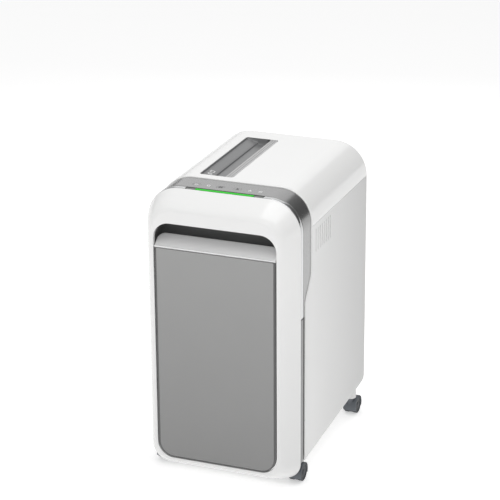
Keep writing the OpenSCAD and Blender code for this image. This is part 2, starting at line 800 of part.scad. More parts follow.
// Lies over to one side at rest, on two pivots at its middle.
module mains_rocker() {
    color("dimgray") translate([switch_x, rocker_y, switch_z]) rotate([0, 0, rocker_rest]) union() {
        difference() {
            translate([-9.7, -4, -7.5]) cube([19.4, 13.5, 15]);
            translate([0, 30, 0]) cylinder(r = 22.5, h = 20, center = true);
        }
        cylinder(r = rocker_pin_r, h = 19.2, center = true);
    }
}

module cable_gland() {
    color("black") difference() {
        union() {
            rod_y(switch_x, gland_z, 7, rear_panel_y - 8, rear_panel_y + 6);
            rod_y(switch_x, gland_z, 10.5, rear_panel_y, rear_panel_y + 3);
            rod_y(switch_x, gland_z, 9.5, rear_panel_y - 8, rear_panel_y - wall - 0.2);
        }
        rod_y(switch_x, gland_z, gland_bore_r, rear_panel_y - 10, rear_panel_y + 8);
    }
}

// Casters. dir is +1 when the wheels trail towards the rear, -1 towards the front.
module caster_hood(x, y, dir) {
    axle_y = y + dir * trail;
    hood_r = wheel_r + 2;
    color("dimgray") difference() {
        union() {
            intersection() {
                along_x(x - 15.5, x + 15.5) difference() {
                    translate([axle_y, wheel_r]) circle(hood_r);
                    translate([axle_y, wheel_r]) circle(wheel_r + 0.8);
                }
                box(x - 20, x + 20, axle_y - 40, axle_y + 40, wheel_r + 4, 60);
            }
            intersection() {
                rod_x(axle_y, wheel_r, hood_r - 0.6, x - 3.5, x + 3.5);
                box(x - 20, x + 20, axle_y - 40, axle_y + 40, 8, 60);
            }
            translate([x, y, hood_r + wheel_r - 2.4]) cylinder(r = 9, h = 2.4);
            translate([x, y, wheel_r + hood_r - eps]) cylinder(r = stem_r, h = 23);
        }
        rod_x(axle_y, wheel_r, 3 + running, x - 10, x + 10);
    }
}

module caster_wheels(x, y, dir) {
    axle_y = y + dir * trail;
    color("dimgray") union() {
        rod_x(axle_y, wheel_r, 3, x - 15, x + 15);
        for (s = [-1, 1]) difference() {
            rod_x(axle_y, wheel_r, wheel_r, s > 0 ? x + 4.2 : x - 15.2, s > 0 ? x + 15.2 : x - 4.2);
            rod_x(axle_y, wheel_r, wheel_r - 4, s > 0 ? x + 13.6 : x - 16, s > 0 ? x + 16 : x - 13.6);
        }
    }
}

top_cover();
side_panel(-1);  // side_panel_left
side_panel(1);  // side_panel_right
rear_panel();
base_tray();
front_shell();
trim_band();
edge_strip_upper();
edge_strip_lower();
slot_insert();
light_lens();
light_housing();
button(power_x);  // power_button
button(reverse_x);  // reverse_button
button(forward_x);  // forward_button
recess_liner();
bin_front();
bin_panel();
bin_tub();
bin_rails();
head_deck();
frame_plate_front();
frame_plate_rear();
tie_rods();
cutter_shaft(cutter_left_x, timing_layer[0], plate_rear_y + plate_t + 2);  // cutter_shaft_left
cutter_shaft(cutter_right_x, timing_layer[0], gear_layers[0][1]);  // cutter_shaft_right
cutter_discs(cutter_left_x, 0, 14);  // cutter_discs_left
cutter_discs(cutter_right_x, disc_pitch / 2, -14);  // cutter_discs_right
shaft_bushes();
stripper_comb(cutter_left_x, -1, 0);  // stripper_comb_left
stripper_comb(cutter_right_x, 1, disc_pitch / 2);  // stripper_comb_right
throat_guides();
start_flag();
timing_gear(cutter_left_x, 0);  // timing_gear_left
timing_gear(cutter_right_x, timing_right_turn);  // timing_gear_right
drive_gear();
idler_gear_second();
idler_gear_first();
idler_pins();
motor_can();
motor_end_bell();
motor_shaft();
motor_fan();
gear_cover();
control_board();
power_board();
interlock_switch();
mains_switch_body();
mains_rocker();
cable_gland();
case_screws();
caster_hood(-caster_x, caster_front_y, -1);  // caster_hood_fl
caster_hood(caster_x, caster_front_y, -1);  // caster_hood_fr
caster_hood(-caster_x, caster_rear_y, 1);  // caster_hood_rl
caster_hood(caster_x, caster_rear_y, 1);  // caster_hood_rr
caster_wheels(-caster_x, caster_front_y, -1);  // caster_wheels_fl
caster_wheels(caster_x, caster_front_y, -1);  // caster_wheels_fr
caster_wheels(-caster_x, caster_rear_y, 1);  // caster_wheels_rl
caster_wheels(caster_x, caster_rear_y, 1);  // caster_wheels_rr
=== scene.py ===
"""An office paper shredder: glossy casing, silver band and bin front, and the working parts inside.

Metres, front towards -Y, +Z up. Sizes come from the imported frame. Shapes are surfaces worked out on
grids of points, and finishes are procedural.
"""

import json
import math

import bmesh
import bpy
import numpy as np
from mathutils import Matrix, Vector


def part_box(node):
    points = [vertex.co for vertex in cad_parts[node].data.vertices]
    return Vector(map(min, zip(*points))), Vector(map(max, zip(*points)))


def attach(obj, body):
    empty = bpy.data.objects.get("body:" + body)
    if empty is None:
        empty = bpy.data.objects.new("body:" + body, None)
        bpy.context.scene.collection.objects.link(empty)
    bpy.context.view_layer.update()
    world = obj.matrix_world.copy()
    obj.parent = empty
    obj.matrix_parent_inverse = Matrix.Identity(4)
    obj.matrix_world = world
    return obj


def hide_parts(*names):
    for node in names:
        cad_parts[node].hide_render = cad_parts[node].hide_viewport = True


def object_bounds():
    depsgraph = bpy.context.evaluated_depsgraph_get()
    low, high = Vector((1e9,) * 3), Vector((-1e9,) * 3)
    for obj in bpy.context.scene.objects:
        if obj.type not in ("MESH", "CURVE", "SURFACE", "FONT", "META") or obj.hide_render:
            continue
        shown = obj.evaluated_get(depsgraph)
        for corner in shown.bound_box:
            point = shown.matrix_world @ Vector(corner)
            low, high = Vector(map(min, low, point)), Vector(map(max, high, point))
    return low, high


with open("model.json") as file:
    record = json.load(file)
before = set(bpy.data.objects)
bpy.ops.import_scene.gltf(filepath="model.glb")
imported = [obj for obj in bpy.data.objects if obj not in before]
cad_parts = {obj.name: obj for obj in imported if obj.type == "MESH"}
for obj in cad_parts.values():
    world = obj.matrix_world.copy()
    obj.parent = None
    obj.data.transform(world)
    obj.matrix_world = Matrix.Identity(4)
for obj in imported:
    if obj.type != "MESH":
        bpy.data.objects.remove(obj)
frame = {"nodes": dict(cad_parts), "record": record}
cad_low, cad_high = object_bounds()
MM = 0.001

# Case, from the frame.
half_w = cad_high.x
front_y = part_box("bin_panel")[0].y
rear_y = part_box("side_panel_right")[1].y
top_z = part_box("top_cover")[1].z
base_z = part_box("side_panel_right")[0].z
seam_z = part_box("top_cover")[0].z
shell_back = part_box("front_shell")[1].y
strip_front, strip_back = (corner.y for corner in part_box("edge_strip_upper"))
strip_gap_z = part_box("edge_strip_upper")[0].z
band_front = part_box("trim_band")[0].y
side_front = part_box("edge_strip_lower")[1].y + 0.4 * MM
cover_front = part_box("top_cover")[0].y
TOP_R = 75 * MM
FRONT_BOTTOM_R = 12 * MM
REAR_BOTTOM_R = 45 * MM
SKIRT_R = 38 * MM
UNDER_X = 118 * MM
BAND_BOW = 16 * MM
WALL = 3 * MM
SUNK = 2.2 * MM
THROAT_X = -41 * MM
TAPER_LOW = 416 * MM
TAPER_HIGH = 480 * MM

# Opening of the front shell, and the bin front in it.
MOUTH_R = 37 * MM
mouth_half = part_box("bin_front")[1].x + 1.5 * MM
mouth_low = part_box("bin_front")[0].z - 7 * MM
mouth_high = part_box("recess_liner")[1].z - 4.5 * MM
lip_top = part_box("bin_front")[1].z
lip_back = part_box("bin_front")[1].y


# Grids and meshes.
def ease(n):
    """n fractions from 0 towards 1, closer together near both ends: (1 - cos) / 2."""
    return (1 - np.cos(np.pi * np.arange(n) / n)) / 2


def roll(radius, depth, n=5):
    """A rounded edge as (distance in from the edge, depth below the face): straight up the side from
    depth, then a quarter circle, then a short flat stretch."""
    a = np.radians(np.linspace(0, 90, n))
    along = np.concatenate([[0], radius * (1 - np.cos(a)), [radius + 0.8 * MM]])
    down = np.concatenate([[depth], radius * (1 - np.sin(a)), [0]])
    return along, down


def outline(half, low, high, r_high, r_low, n_arc=18, n_line=12):
    """Closed outline of (across, up) points: four straight sides joined by quarter circles. It starts at
    the middle of the low side and runs anticlockwise. Equal counts make any two outlines match."""
    r_high = max(min(r_high, half, (high - low) / 2), 1e-6)
    r_low = max(min(r_low, half, (high - low) / 2), 1e-6)

    def line(p, q):
        return np.array(p) + (np.array(q) - np.array(p)) * ease(n_line)[:, None]

    def arc(x, z, r, start):
        a = np.radians(start + np.arange(n_arc) * 90 / n_arc)
        return np.stack([x + r * np.cos(a), z + r * np.sin(a)], 1)

    x_low, x_high = half - r_low, half - r_high
    z_low, z_high = low + r_low, high - r_high
    return np.concatenate([
        line((0, low), (x_low, low)), arc(x_low, z_low, r_low, -90), line((half, z_low), (half, z_high)),
        arc(x_high, z_high, r_high, 0), line((x_high, high), (0, high)), line((0, high), (-x_high, high)),
        arc(-x_high, z_high, r_high, 90), line((-half, z_high), (-half, z_low)),
        arc(-x_low, z_low, r_low, 180), line((-x_low, low), (0, low))])


def upright(ring, y):
    """A ring of (across, up) points stood at depth y."""
    return np.stack([ring[:, 0], np.full(len(ring), y), ring[:, 1]], 1)


def level(ring, z):
    """A ring of (across, along) points laid at height z."""
    return np.stack([ring[:, 0], ring[:, 1], np.full(len(ring), z)], 1)


def quads(n_u, n_v, wrap_u=False, wrap_v=False, keep=None):
    """Faces of an n_u by n_v grid of points, closed round either way if asked, where keep is true."""
    i = np.arange(n_u if wrap_u else n_u - 1)
    j = np.arange(n_v if wrap_v else n_v - 1)
    i, j = (k.ravel() for k in np.meshgrid(i, j, indexing="ij"))
    if keep is not None:
        shown = keep[i, j]
        i, j = i[shown], j[shown]
    a, b = (i + 1) % n_u, (j + 1) % n_v
    return np.stack([i * n_v + j, a * n_v + j, a * n_v + b, i * n_v + b], 1)


def loft(rings, closed=False):
    """A skin over matching rings, each ring closed; closed joins the last ring to the first."""
    points = np.array(rings)
    return points.reshape(-1, 3), quads(len(rings), points.shape[1], closed, True)


def slab(outer, inner, keep):
    """A wall between two matching grids of points, with a side wall wherever keep ends."""
    n_u, n_v = outer.shape[:2]
    count = n_u * n_v
    points = np.concatenate([outer.reshape(-1, 3), inner.reshape(-1, 3)])
    faces = quads(n_u, n_v, keep=keep)
    padded = np.pad(keep, 1)
    i, j = np.nonzero(padded[:-1, 1:-1] != padded[1:, 1:-1])
    across = np.stack([i * n_v + j, i * n_v + j + 1], 1)
    i, j = np.nonzero(padded[1:-1, :-1] != padded[1:-1, 1:])
    along = np.stack([i * n_v + j, (i + 1) * n_v + j], 1)
    edges = np.concatenate([across, along])
    walls = np.concatenate([edges, edges[:, ::-1] + count], 1)
    return points, np.concatenate([faces, faces[:, ::-1] + count, walls])


def lathe(profile, centre, axis, n=64):
    """A skin turned about an axis through centre: profile is (radius, distance along the axis) points,
    and its ends are closed where the radius is 0."""
    axis = Vector(axis).normalized()
    side = Vector((0, 0, 1)) if abs(axis.z) < 0.5 else Vector((1, 0, 0))
    side = (side - axis * side.dot(axis)).normalized()
    other = axis.cross(side)
    turn = np.linspace(0, math.tau, n, endpoint=False)
    circle = np.cos(turn)[:, None] * np.array(side) + np.sin(turn)[:, None] * np.array(other)
    rings = [np.array(centre) + r * circle + h * np.array(axis) for r, h in profile]
    return loft(rings)


def piece(name, parts, finish, body, stands_for=(), corner=38):
    """Joins parts, each (points, faces), into one object that rides on a body. Doubled points are merged
    and the closed skins are turned outwards; edges sharper than corner degrees stay crisp."""
    offset, points, faces = 0, [], []
    for part_points, part_faces in parts:
        points.append(part_points)
        faces += (part_faces + offset).tolist()
        offset += len(part_points)
    mesh = bpy.data.meshes.new(name)
    mesh.from_pydata(np.concatenate(points).tolist(), [], faces)
    work = bmesh.new()
    work.from_mesh(mesh)
    bmesh.ops.remove_doubles(work, verts=work.verts, dist=0.002 * MM)
    bmesh.ops.dissolve_degenerate(work, edges=work.edges, dist=0.002 * MM)
    bmesh.ops.recalc_face_normals(work, faces=work.faces)
    if work.calc_volume(signed=True) < 0:
        bmesh.ops.reverse_faces(work, faces=work.faces)
    work.to_mesh(mesh)
    work.free()
    mesh.shade_smooth()
    mesh.set_sharp_from_angle(angle=math.radians(corner))
    obj = bpy.data.objects.new(name, mesh)
    bpy.context.scene.collection.objects.link(obj)
    mesh.materials.append(finish)
    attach(obj, body)
    if stands_for:
        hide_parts(*stands_for)
    return obj


def measured(path):
    """A polyline as (lengths from its start, its points, its outward normals). Outward is to the right
    of the way it runs."""
    step = np.diff(path, axis=0)
    length = np.concatenate([[0], np.cumsum(np.hypot(*step.T))])
    way = np.gradient(path, length, axis=0)
    way /= np.linalg.norm(way, axis=1)[:, None]
    return length, path, np.stack([way[:, 1], -way[:, 0]], 1)


def panel(path, y_front, y_back, thick=WALL, edge=0.6 * MM, front_edge=None, back_edge=None, sunk=0.0,
          crown=0.0, holes=(), step=6 * MM, place=None):
    """A moulded wall that follows a path seen from the front and reaches from y_front to y_back.

    Its four edges are rolled. y_front may be a function of the path's height, and then the lines along
    the path blend from it to the straight back edge. sunk drops the face below
    the path, and crown drops its two long edges below its middle, as a parabola. A hole is (start along
    the path, end, front, back, corner radius). place turns (across, up, depth) into a point."""
    length, points, normals = measured(path)
    front_edge = edge if front_edge is None else front_edge
    back_edge = edge if back_edge is None else back_edge

    def lines(low, high, wanted):
        """Even lines from low to high, with the wanted ones among them and none very close to those."""
        even = np.linspace(low, high, max(2, int((high - low) / step) + 1))
        wanted = np.unique(np.round([w for w in wanted if low < w < high], 7))
        if len(wanted):
            even = even[np.abs(even[:, None] - wanted).min(1) > 0.4 * MM]
        return np.union1d(even, wanted)

    def corners(start, end, r):
        part = r * np.array([0, 0.12, 0.3, 0.55, 1])
        return [*(start + part), *(end - part)]

    end_s, end_down = roll(edge, thick)
    wanted = [w for hole in holes for w in corners(hole[0], hole[1], hole[4])]
    middle = lines(end_s[-1], length[-1] - end_s[-1], wanted)
    s = np.concatenate([end_s, middle[1:-1], length[-1] - end_s[::-1]])
    s_down = np.concatenate([end_down, np.zeros(len(middle) - 2), end_down[::-1]])
    front_d, front_down = roll(front_edge, thick)
    back_d, back_down = roll(back_edge, thick)
    height = np.interp(s, length, points[:, 1])
    start = y_front(height) if callable(y_front) else np.full(len(s), y_front)
    wanted = [w for hole in holes for w in corners(hole[2], hole[3], hole[4])]
    near = start[np.abs(s - holes[0][0]).argmin()] if holes else start.max()
    fixed = lines(near + front_d[-1], y_back - back_d[-1], wanted)
    share = (fixed - fixed[0]) / (fixed[-1] - fixed[0])
    rows = [start + d for d in front_d[:-1]]
    rows += [(start + front_d[-1]) * (1 - t) + fixed[-1] * t for t in share]
    rows += [np.full(len(s), y_back - d) for d in back_d[-2::-1]]
    flat = len(rows) - len(front_d) - len(back_d)
    y_down = np.concatenate([front_down, np.zeros(flat), back_down[::-1]])
    ys = np.stack(rows, 1)
    ss = np.repeat(s[:, None], ys.shape[1], 1)
    middle_y, half_y = (ys[:, :1] + ys[:, -1:]) / 2, (ys[:, -1:] - ys[:, :1]) / 2
    down = s_down[:, None] + y_down[None] + crown * ((ys - middle_y) / half_y) ** 2
    cell_s, cell_y = (ss[1:, 1:] + ss[:-1, :-1]) / 2, (ys[1:, 1:] + ys[:-1, :-1]) / 2
    keep = np.ones(cell_s.shape, bool)
    for s0, s1, y0, y1, r in holes:
        keep &= ~((cell_s > s0) & (cell_s < s1) & (cell_y > y0) & (cell_y < y1))
        if r > 0:
            for cs, cy, ds, dy in ((s0, y0, 1, 1), (s1, y0, -1, 1), (s0, y1, 1, -1), (s1, y1, -1, -1)):
                u, v = (ss - cs) * ds, (ys - cy) * dy
                rim = (np.abs(np.minimum(u, v)) < 0.01 * MM) & (np.maximum(u, v) < r - 0.01 * MM)
                away = np.stack([u - r, v - r], -1)
                away *= r / np.maximum(np.linalg.norm(away, axis=-1, keepdims=True), 1e-9)
                ss = np.where(rim, cs + ds * (r + away[..., 0]), ss)
                ys = np.where(rim, cy + dy * (r + away[..., 1]), ys)

    def sheet(depth):
        """The path's points at ss, moved in by depth, with their place along Y."""
        depth = np.minimum(depth, thick) + sunk
        across = np.interp(ss, length, points[:, 0]) - depth * np.interp(ss, length, normals[:, 0])
        up = np.interp(ss, length, points[:, 1]) - depth * np.interp(ss, length, normals[:, 1])
        if place:
            return place(across, up, ys)
        return np.stack([across, ys, up], -1)

    return slab(sheet(down), sheet(np.full(ss.shape, thick)), keep)


def plate(half, low, high, r_high, r_low, y, thick, edge):
    """A flat plate with rounded corners and a rolled front edge. Matching outlines shrink from its rim
    to its middle on the front, and the same way back behind it."""
    d, down = roll(edge, thick)
    reach = min(half, (high - low) / 2)
    inward = np.concatenate([d, d[-1] + (reach - d[-1]) * np.linspace(0, 1, 8)[1:]])
    depth = np.concatenate([down, np.zeros(7)])

    def skin(depths):
        return loft([upright(outline(half - i, low + i, high - i, r_high - i, r_low - i), y + t)
                     for i, t in zip(inward, depths)])

    (front, faces), (back, more) = skin(depth), skin(np.full(len(depth), thick))
    return np.concatenate([front, back]), np.concatenate([faces, more[:, ::-1] + len(front)])


def ribbon(path, width, low, thick):
    """A flat stroke of even width along an (across, along) path, lying at height low. At each corner the
    sides are mitred: the mean normal, over its dot product with either side's normal."""
    path = np.array(path, float)
    step = np.diff(path, axis=0)
    step /= np.linalg.norm(step, axis=1)[:, None]
    closed = np.allclose(path[0], path[-1])
    before = np.concatenate([step[-1:] if closed else step[:1], step])
    after = np.concatenate([step, step[:1] if closed else step[-1:]])
    mean = before + after
    mean /= np.linalg.norm(mean, axis=1)[:, None]
    side = np.stack([-mean[:, 1], mean[:, 0]], 1) / (mean * after).sum(1)[:, None] * width / 2
    rows = [(path + side, low), (path + side, low + thick), (path - side, low + thick), (path - side, low)]
    points = np.stack([np.column_stack([p, np.full(len(p), z)]) for p, z in rows], 1)
    n = len(path)
    if closed:
        return points[:-1].reshape(-1, 3), quads(n - 1, 4, True, True)
    caps = np.array([[0, 1, 2, 3], [4 * n - 1, 4 * n - 2, 4 * n - 3, 4 * n - 4]])
    return points.reshape(-1, 3), np.concatenate([quads(n, 4, False, True), caps])


# Finishes.
def finish(name, colour, rough, metal=0.0, coat=0.0, grain=(900, 0.05), mottle=0.03, stretch=(1, 1, 1),
           glow=0.0, sheen=0.0, painted_shade=None):
    """A material whose colour, gloss and surface vary with noise at fixed places on the object.

    grain is the size of the fine texture, in waves a metre, and its depth as a bump strength. mottle is
    how far the colour drifts. stretch squeezes the texture along each axis, for a brushed surface. The last
    argument is painted shade, the colour darkened along one axis: (axis, place of the full colour, place of
    the darkest, share of the colour left there)."""
    mat = bpy.data.materials.new(name)
    mat.use_nodes = True
    nodes, links = mat.node_tree.nodes, mat.node_tree.links
    shader = nodes["Principled BSDF"]
    shader.inputs["Metallic"].default_value = metal
    shader.inputs["Coat Weight"].default_value = coat
    shader.inputs["Coat Roughness"].default_value = 0.08
    shader.inputs["Sheen Weight"].default_value = sheen
    if glow:
        shader.inputs["Emission Color"].default_value = (*colour, 1)
        shader.inputs["Emission Strength"].default_value = glow
    place = nodes.new("ShaderNodeTexCoord")
    scaled = nodes.new("ShaderNodeMapping")
    scaled.inputs["Scale"].default_value = stretch
    links.new(place.outputs["Object"], scaled.inputs["Vector"])

    def noise(scale, detail, source):
        node = nodes.new("ShaderNodeTexNoise")
        node.inputs["Scale"].default_value = scale
        node.inputs["Detail"].default_value = detail
        links.new(source, node.inputs["Vector"])
        return node.outputs["Fac"]

    def spread(source, low, high):
        node = nodes.new("ShaderNodeMapRange")
        node.inputs["From Min"].default_value = 0.25
        node.inputs["From Max"].default_value = 0.75
        node.inputs["To Min"].default_value = low
        node.inputs["To Max"].default_value = high
        links.new(source, node.inputs["Value"])
        return node.outputs["Result"]

    cloud = noise(9, 3, place.outputs["Object"])
    fine = noise(grain[0], 4, scaled.outputs["Vector"])
    tint = nodes.new("ShaderNodeMix")
    tint.data_type = "RGBA"
    tint.inputs["A"].default_value = (*(c * (1 - mottle) for c in colour), 1)
    tint.inputs["B"].default_value = (*(min(1, c * (1 + mottle)) for c in colour), 1)
    links.new(cloud, tint.inputs["Factor"])
    shade = tint.outputs["Result"]
    # Painted shade: the colour is multiplied down along one axis, standing in for light that falls off.
    if painted_shade:
        split = nodes.new("ShaderNodeSeparateXYZ")
        height = nodes.new("ShaderNodeMapRange")
        shade_multiply = nodes.new("ShaderNodeMix")
        shade_multiply.data_type, shade_multiply.blend_type = "RGBA", "MULTIPLY"
        shade_multiply.inputs["Factor"].default_value = 1
        height.inputs["From Min"].default_value, height.inputs["From Max"].default_value = painted_shade[1:3]
        height.inputs["To Min"].default_value, height.inputs["To Max"].default_value = 1, painted_shade[3]
        links.new(place.outputs["Object"], split.inputs["Vector"])
        links.new(split.outputs[painted_shade[0]], height.inputs["Value"])
        links.new(shade, shade_multiply.inputs["A"])
        links.new(height.outputs["Result"], shade_multiply.inputs["B"])
        shade = shade_multiply.outputs["Result"]
    links.new(shade, shader.inputs["Base Color"])
    links.new(spread(fine, max(0.02, rough * 0.85), min(1, rough * 1.15)), shader.inputs["Roughness"])
    bump = nodes.new("ShaderNodeBump")
    bump.inputs["Strength"].default_value = grain[1]
    bump.inputs["Distance"].default_value = 0.1 * MM
    links.new(fine, bump.inputs["Height"])
    links.new(bump.outputs["Normal"], shader.inputs["Normal"])
    return mat


# Painted shade: the gloss white darkens towards the bottom of the case, to 0.88 of its colour.
gloss_white = finish("gloss_white", (0.86, 0.86, 0.855), 0.22, coat=0.35, grain=(500, 0.02), mottle=0.01,
                     painted_shade=("Z", 0.46, 0.02, 0.88))
# Painted shade: the satin white darkens towards the rear of the side casings, to 0.72 of its colour.
satin_white = finish("satin_white", (0.82, 0.82, 0.815), 0.42, grain=(1500, 0.12), mottle=0.012,
                     painted_shade=("Y", -0.12, 0.24, 0.72))
band_silver = finish("band_silver", (0.35, 0.35, 0.35), 0.22, metal=0.92, grain=(2600, 0.05), mottle=0.02)
strip_silver = finish("strip_silver", (0.62, 0.625, 0.63), 0.14, metal=1.0, grain=(1800, 0.02), mottle=0.01)
# Painted shade: a darker copy of the strip silver, for the lower strips down the shaded sides.
strip_silver_shaded = finish("strip_silver_shaded", (0.27, 0.272, 0.275), 0.35, metal=0.8, grain=(1800, 0.05), mottle=0.02)
# Painted shade: the bin panel's silver darkens towards the bottom, to 0.72 of its colour.
panel_silver = finish("panel_silver", (0.345, 0.345, 0.343), 0.42, metal=0.5, grain=(3000, 0.10), mottle=0.02,
                      painted_shade=("Z", 0.53, 0.05, 0.72))
lip_silver = finish("lip_silver", (0.77, 0.77, 0.77), 0.40, metal=0.4, grain=(3000, 0.06), mottle=0.015)
recess_dark = finish("recess_dark", (0.20, 0.201, 0.203), 0.42, grain=(1800, 0.15), mottle=0.05)
# Painted shade: dark grey for surfaces in shadow gaps, the door rim round the bin panel and the grooves
# behind the lower strips.
gap_shade_grey = finish("gap_shade_grey", (0.13, 0.13, 0.13), 0.45, metal=0.3, grain=(2600, 0.08), mottle=0.03)
# Painted shade: near black for the shadowed gap under the handle.
gap_shade_black = finish("gap_shade_black", (0.03, 0.03, 0.032), 0.5, grain=(1800, 0.1), mottle=0.05)
slot_grey = finish("slot_grey", (0.22, 0.222, 0.225), 0.34, metal=0.35, grain=(2200, 0.10), mottle=0.03)
rail_grey = finish("rail_grey", (0.46, 0.46, 0.46), 0.34, metal=0.35, grain=(2200, 0.06), mottle=0.02)
lens_green = finish("lens_green", (0.010, 0.50, 0.008), 0.55, grain=(400, 0.02), glow=0.16)
# Painted highlight: near white for the line of light along the handle's lower edge.
highlight_white = finish("highlight_white", (0.92, 0.92, 0.92), 0.25, metal=0.1, grain=(2000, 0.03), mottle=0.01)
light_dark = finish("light_dark", (0.03, 0.04, 0.03), 0.18, coat=0.5, grain=(600, 0.02), mottle=0.05)
icon_white = finish("icon_white", (0.85, 0.85, 0.85), 0.5, grain=(2000, 0.03), mottle=0.01)
icon_dark = finish("icon_dark", (0.02, 0.02, 0.022), 0.7, grain=(2000, 0.03), mottle=0.02)
tub_grey = finish("tub_grey", (0.075, 0.08, 0.085), 0.5, grain=(1300, 0.25), mottle=0.06)
frame_grey = finish("frame_grey", (0.16, 0.165, 0.175), 0.52, grain=(1300, 0.25), mottle=0.05)
tray_white = finish("tray_white", (0.72, 0.72, 0.71), 0.5, grain=(1300, 0.22), mottle=0.03)
plate_steel = finish("plate_steel", (0.52, 0.53, 0.55), 0.34, metal=1, grain=(700, 0.15), mottle=0.10,
                     stretch=(1, 1, 0.15))
shaft_steel = finish("shaft_steel", (0.60, 0.61, 0.63), 0.20, metal=1, grain=(1200, 0.08), mottle=0.05,
                     stretch=(1, 0.1, 1))
cutter_steel = finish("cutter_steel", (0.44, 0.45, 0.47), 0.28, metal=1, grain=(1500, 0.12), mottle=0.12)
gear_steel = finish("gear_steel", (0.17, 0.17, 0.18), 0.42, metal=0.9, grain=(2400, 0.25), mottle=0.15)
gear_nylon = finish("gear_nylon", (0.70, 0.67, 0.57), 0.38, grain=(1100, 0.08), mottle=0.04, sheen=0.05)
bush_bronze = finish("bush_bronze", (0.56, 0.36, 0.16), 0.35, metal=1, grain=(2600, 0.2), mottle=0.15)
motor_paint = finish("motor_paint", (0.13, 0.15, 0.18), 0.38, metal=0.3, grain=(1600, 0.2), mottle=0.08)
black_plastic = finish("black_plastic", (0.022, 0.022, 0.025), 0.42, grain=(1700, 0.2), mottle=0.1)
board_green = finish("board_green", (0.02, 0.12, 0.05), 0.35, coat=0.3, grain=(500, 0.3), mottle=0.2)
screw_steel = finish("screw_steel", (0.16, 0.16, 0.17), 0.35, metal=0.9, grain=(2000, 0.1), mottle=0.1)
hood_slate = finish("hood_slate", (0.108, 0.12, 0.134), 0.42, grain=(1500, 0.16), mottle=0.05)
tread_slate = finish("tread_slate", (0.055, 0.06, 0.066), 0.6, grain=(1500, 0.3), mottle=0.12)
SLOT_FINISH = {
    "gloss_white": gloss_white, "satin_white": satin_white, "silver_paint": band_silver,
    "bright_trim": strip_silver, "panel_silver": panel_silver, "handle_silver": lip_silver,
    "recess_dark": recess_dark, "slot_grey": slot_grey, "button_silver": band_silver,
    "lens_green": lens_green, "light_dark": light_dark, "tub_grey": tub_grey, "frame_grey": frame_grey,
    "tray_white": tray_white, "plate_steel": plate_steel, "shaft_steel": shaft_steel,
    "cutter_steel": cutter_steel, "gear_steel": gear_steel, "gear_nylon": gear_nylon,
    "bush_bronze": bush_bronze, "motor_paint": motor_paint, "black_plastic": black_plastic,
    "board_green": board_green, "screw_steel": screw_steel, "caster_grey": hood_slate,
    "wheel_grey": tread_slate}


def dress_frame_nodes():
    """Each node of the frame takes the finish of its slot."""
    for part in frame["record"]["subparts"]:
        mesh = frame["nodes"][part["node"]].data
        mesh.materials.clear()
        mesh.materials.append(SLOT_FINISH[part["material_slot"]])


# Paths of the case seen from the front, as (across, up) points.
def arc_points(x, z, r, start, stop, n=46):
    a = np.radians(np.linspace(start, stop, n))
    return np.stack([x + r * np.cos(a), z + r * np.sin(a)], 1)


def side_path(stop_z, r=REAR_BOTTOM_R):
    """From under the case, round the right bottom corner and up the right side."""
    corner = arc_points(half_w - r, base_z + r, r, -90, 0)
    return np.concatenate([[(UNDER_X, base_z)], corner, [(half_w, stop_z)]])


def opened_corner(points):
    """Tightens the bottom corners of side_path towards the front. Each point of the rear corner's circle
    goes to the point of the same angle on a circle whose radius falls in a straight line along Y. The
    flat underside and the foot of the wall stretch to meet it."""
    share = np.clip((points[..., 1] - side_front) / (rear_y - side_front), 0, 1)
    r = FRONT_BOTTOM_R + (REAR_BOTTOM_R - FRONT_BOTTOM_R) * share
    side = np.sign(points[..., 0])
    across = np.abs(points[..., 0]) - (half_w - REAR_BOTTOM_R)
    down = base_z + REAR_BOTTOM_R - points[..., 2]
    depth = REAR_BOTTOM_R - np.hypot(across, down)
    scale = (r - depth) / np.maximum(REAR_BOTTOM_R - depth, 1e-9)
    stretch = (half_w - r - UNDER_X) / (half_w - REAR_BOTTOM_R - UNDER_X)
    under = UNDER_X + (np.abs(points[..., 0]) - UNDER_X) * stretch
    calm_z = base_z + 3 * REAR_BOTTOM_R
    squeeze = (calm_z - base_z - r) / (2 * REAR_BOTTOM_R)
    wall_z = calm_z - (calm_z - points[..., 2]) * squeeze
    in_corner, beneath = (across > 0) & (down > 0), (across <= 0) & (down > 0)
    on_wall = (down <= 0) & (points[..., 2] < calm_z)
    moved = points.copy()
    moved[..., 0] = side * np.select([in_corner, beneath], [half_w - r + across * scale, under],
                                     np.abs(points[..., 0]))
    moved[..., 2] = np.select([in_corner, on_wall], [base_z + r - down * scale, wall_z], points[..., 2])
    return moved


def over_path(stop_z):
    """From stop_z up the right side, over the top and down the left side to the same height."""
    right = arc_points(half_w - TOP_R, top_z - TOP_R, TOP_R, 0, 90)
    left = arc_points(-half_w + TOP_R, top_z - TOP_R, TOP_R, 90, 180)
    path = np.concatenate([[(half_w, stop_z)], right, left, [(-half_w, stop_z)]])
    return path[np.append(True, np.hypot(*np.diff(path, axis=0).T) > 0.01 * MM)]


def mirrored(path):
    """The same path on the left side, run the other way so that outward stays outward."""
    return path[::-1] * np.array([-1, 1])


def over_length(x, stop_z):
    """Length along over_path to the place on the flat top that is x across."""
    return top_z - TOP_R - stop_z + TOP_R * np.pi / 2 + half_w - TOP_R - x


def band_edge(z):
    """Rear edge of the silver band at a height: it bows back over the top corners, as one minus a power of
    the height left, and below it runs straight, then draws forwards in a soft S."""
    t = np.clip((z - TAPER_LOW) / (TAPER_HIGH - TAPER_LOW), 0, 1)
    u = np.clip((z - seam_z) / (top_z - seam_z), 0, 1)
    return side_front + (cover_front - side_front) * t * t * (3 - 2 * t) + BAND_BOW * (1 - (1 - u) ** 1.7)


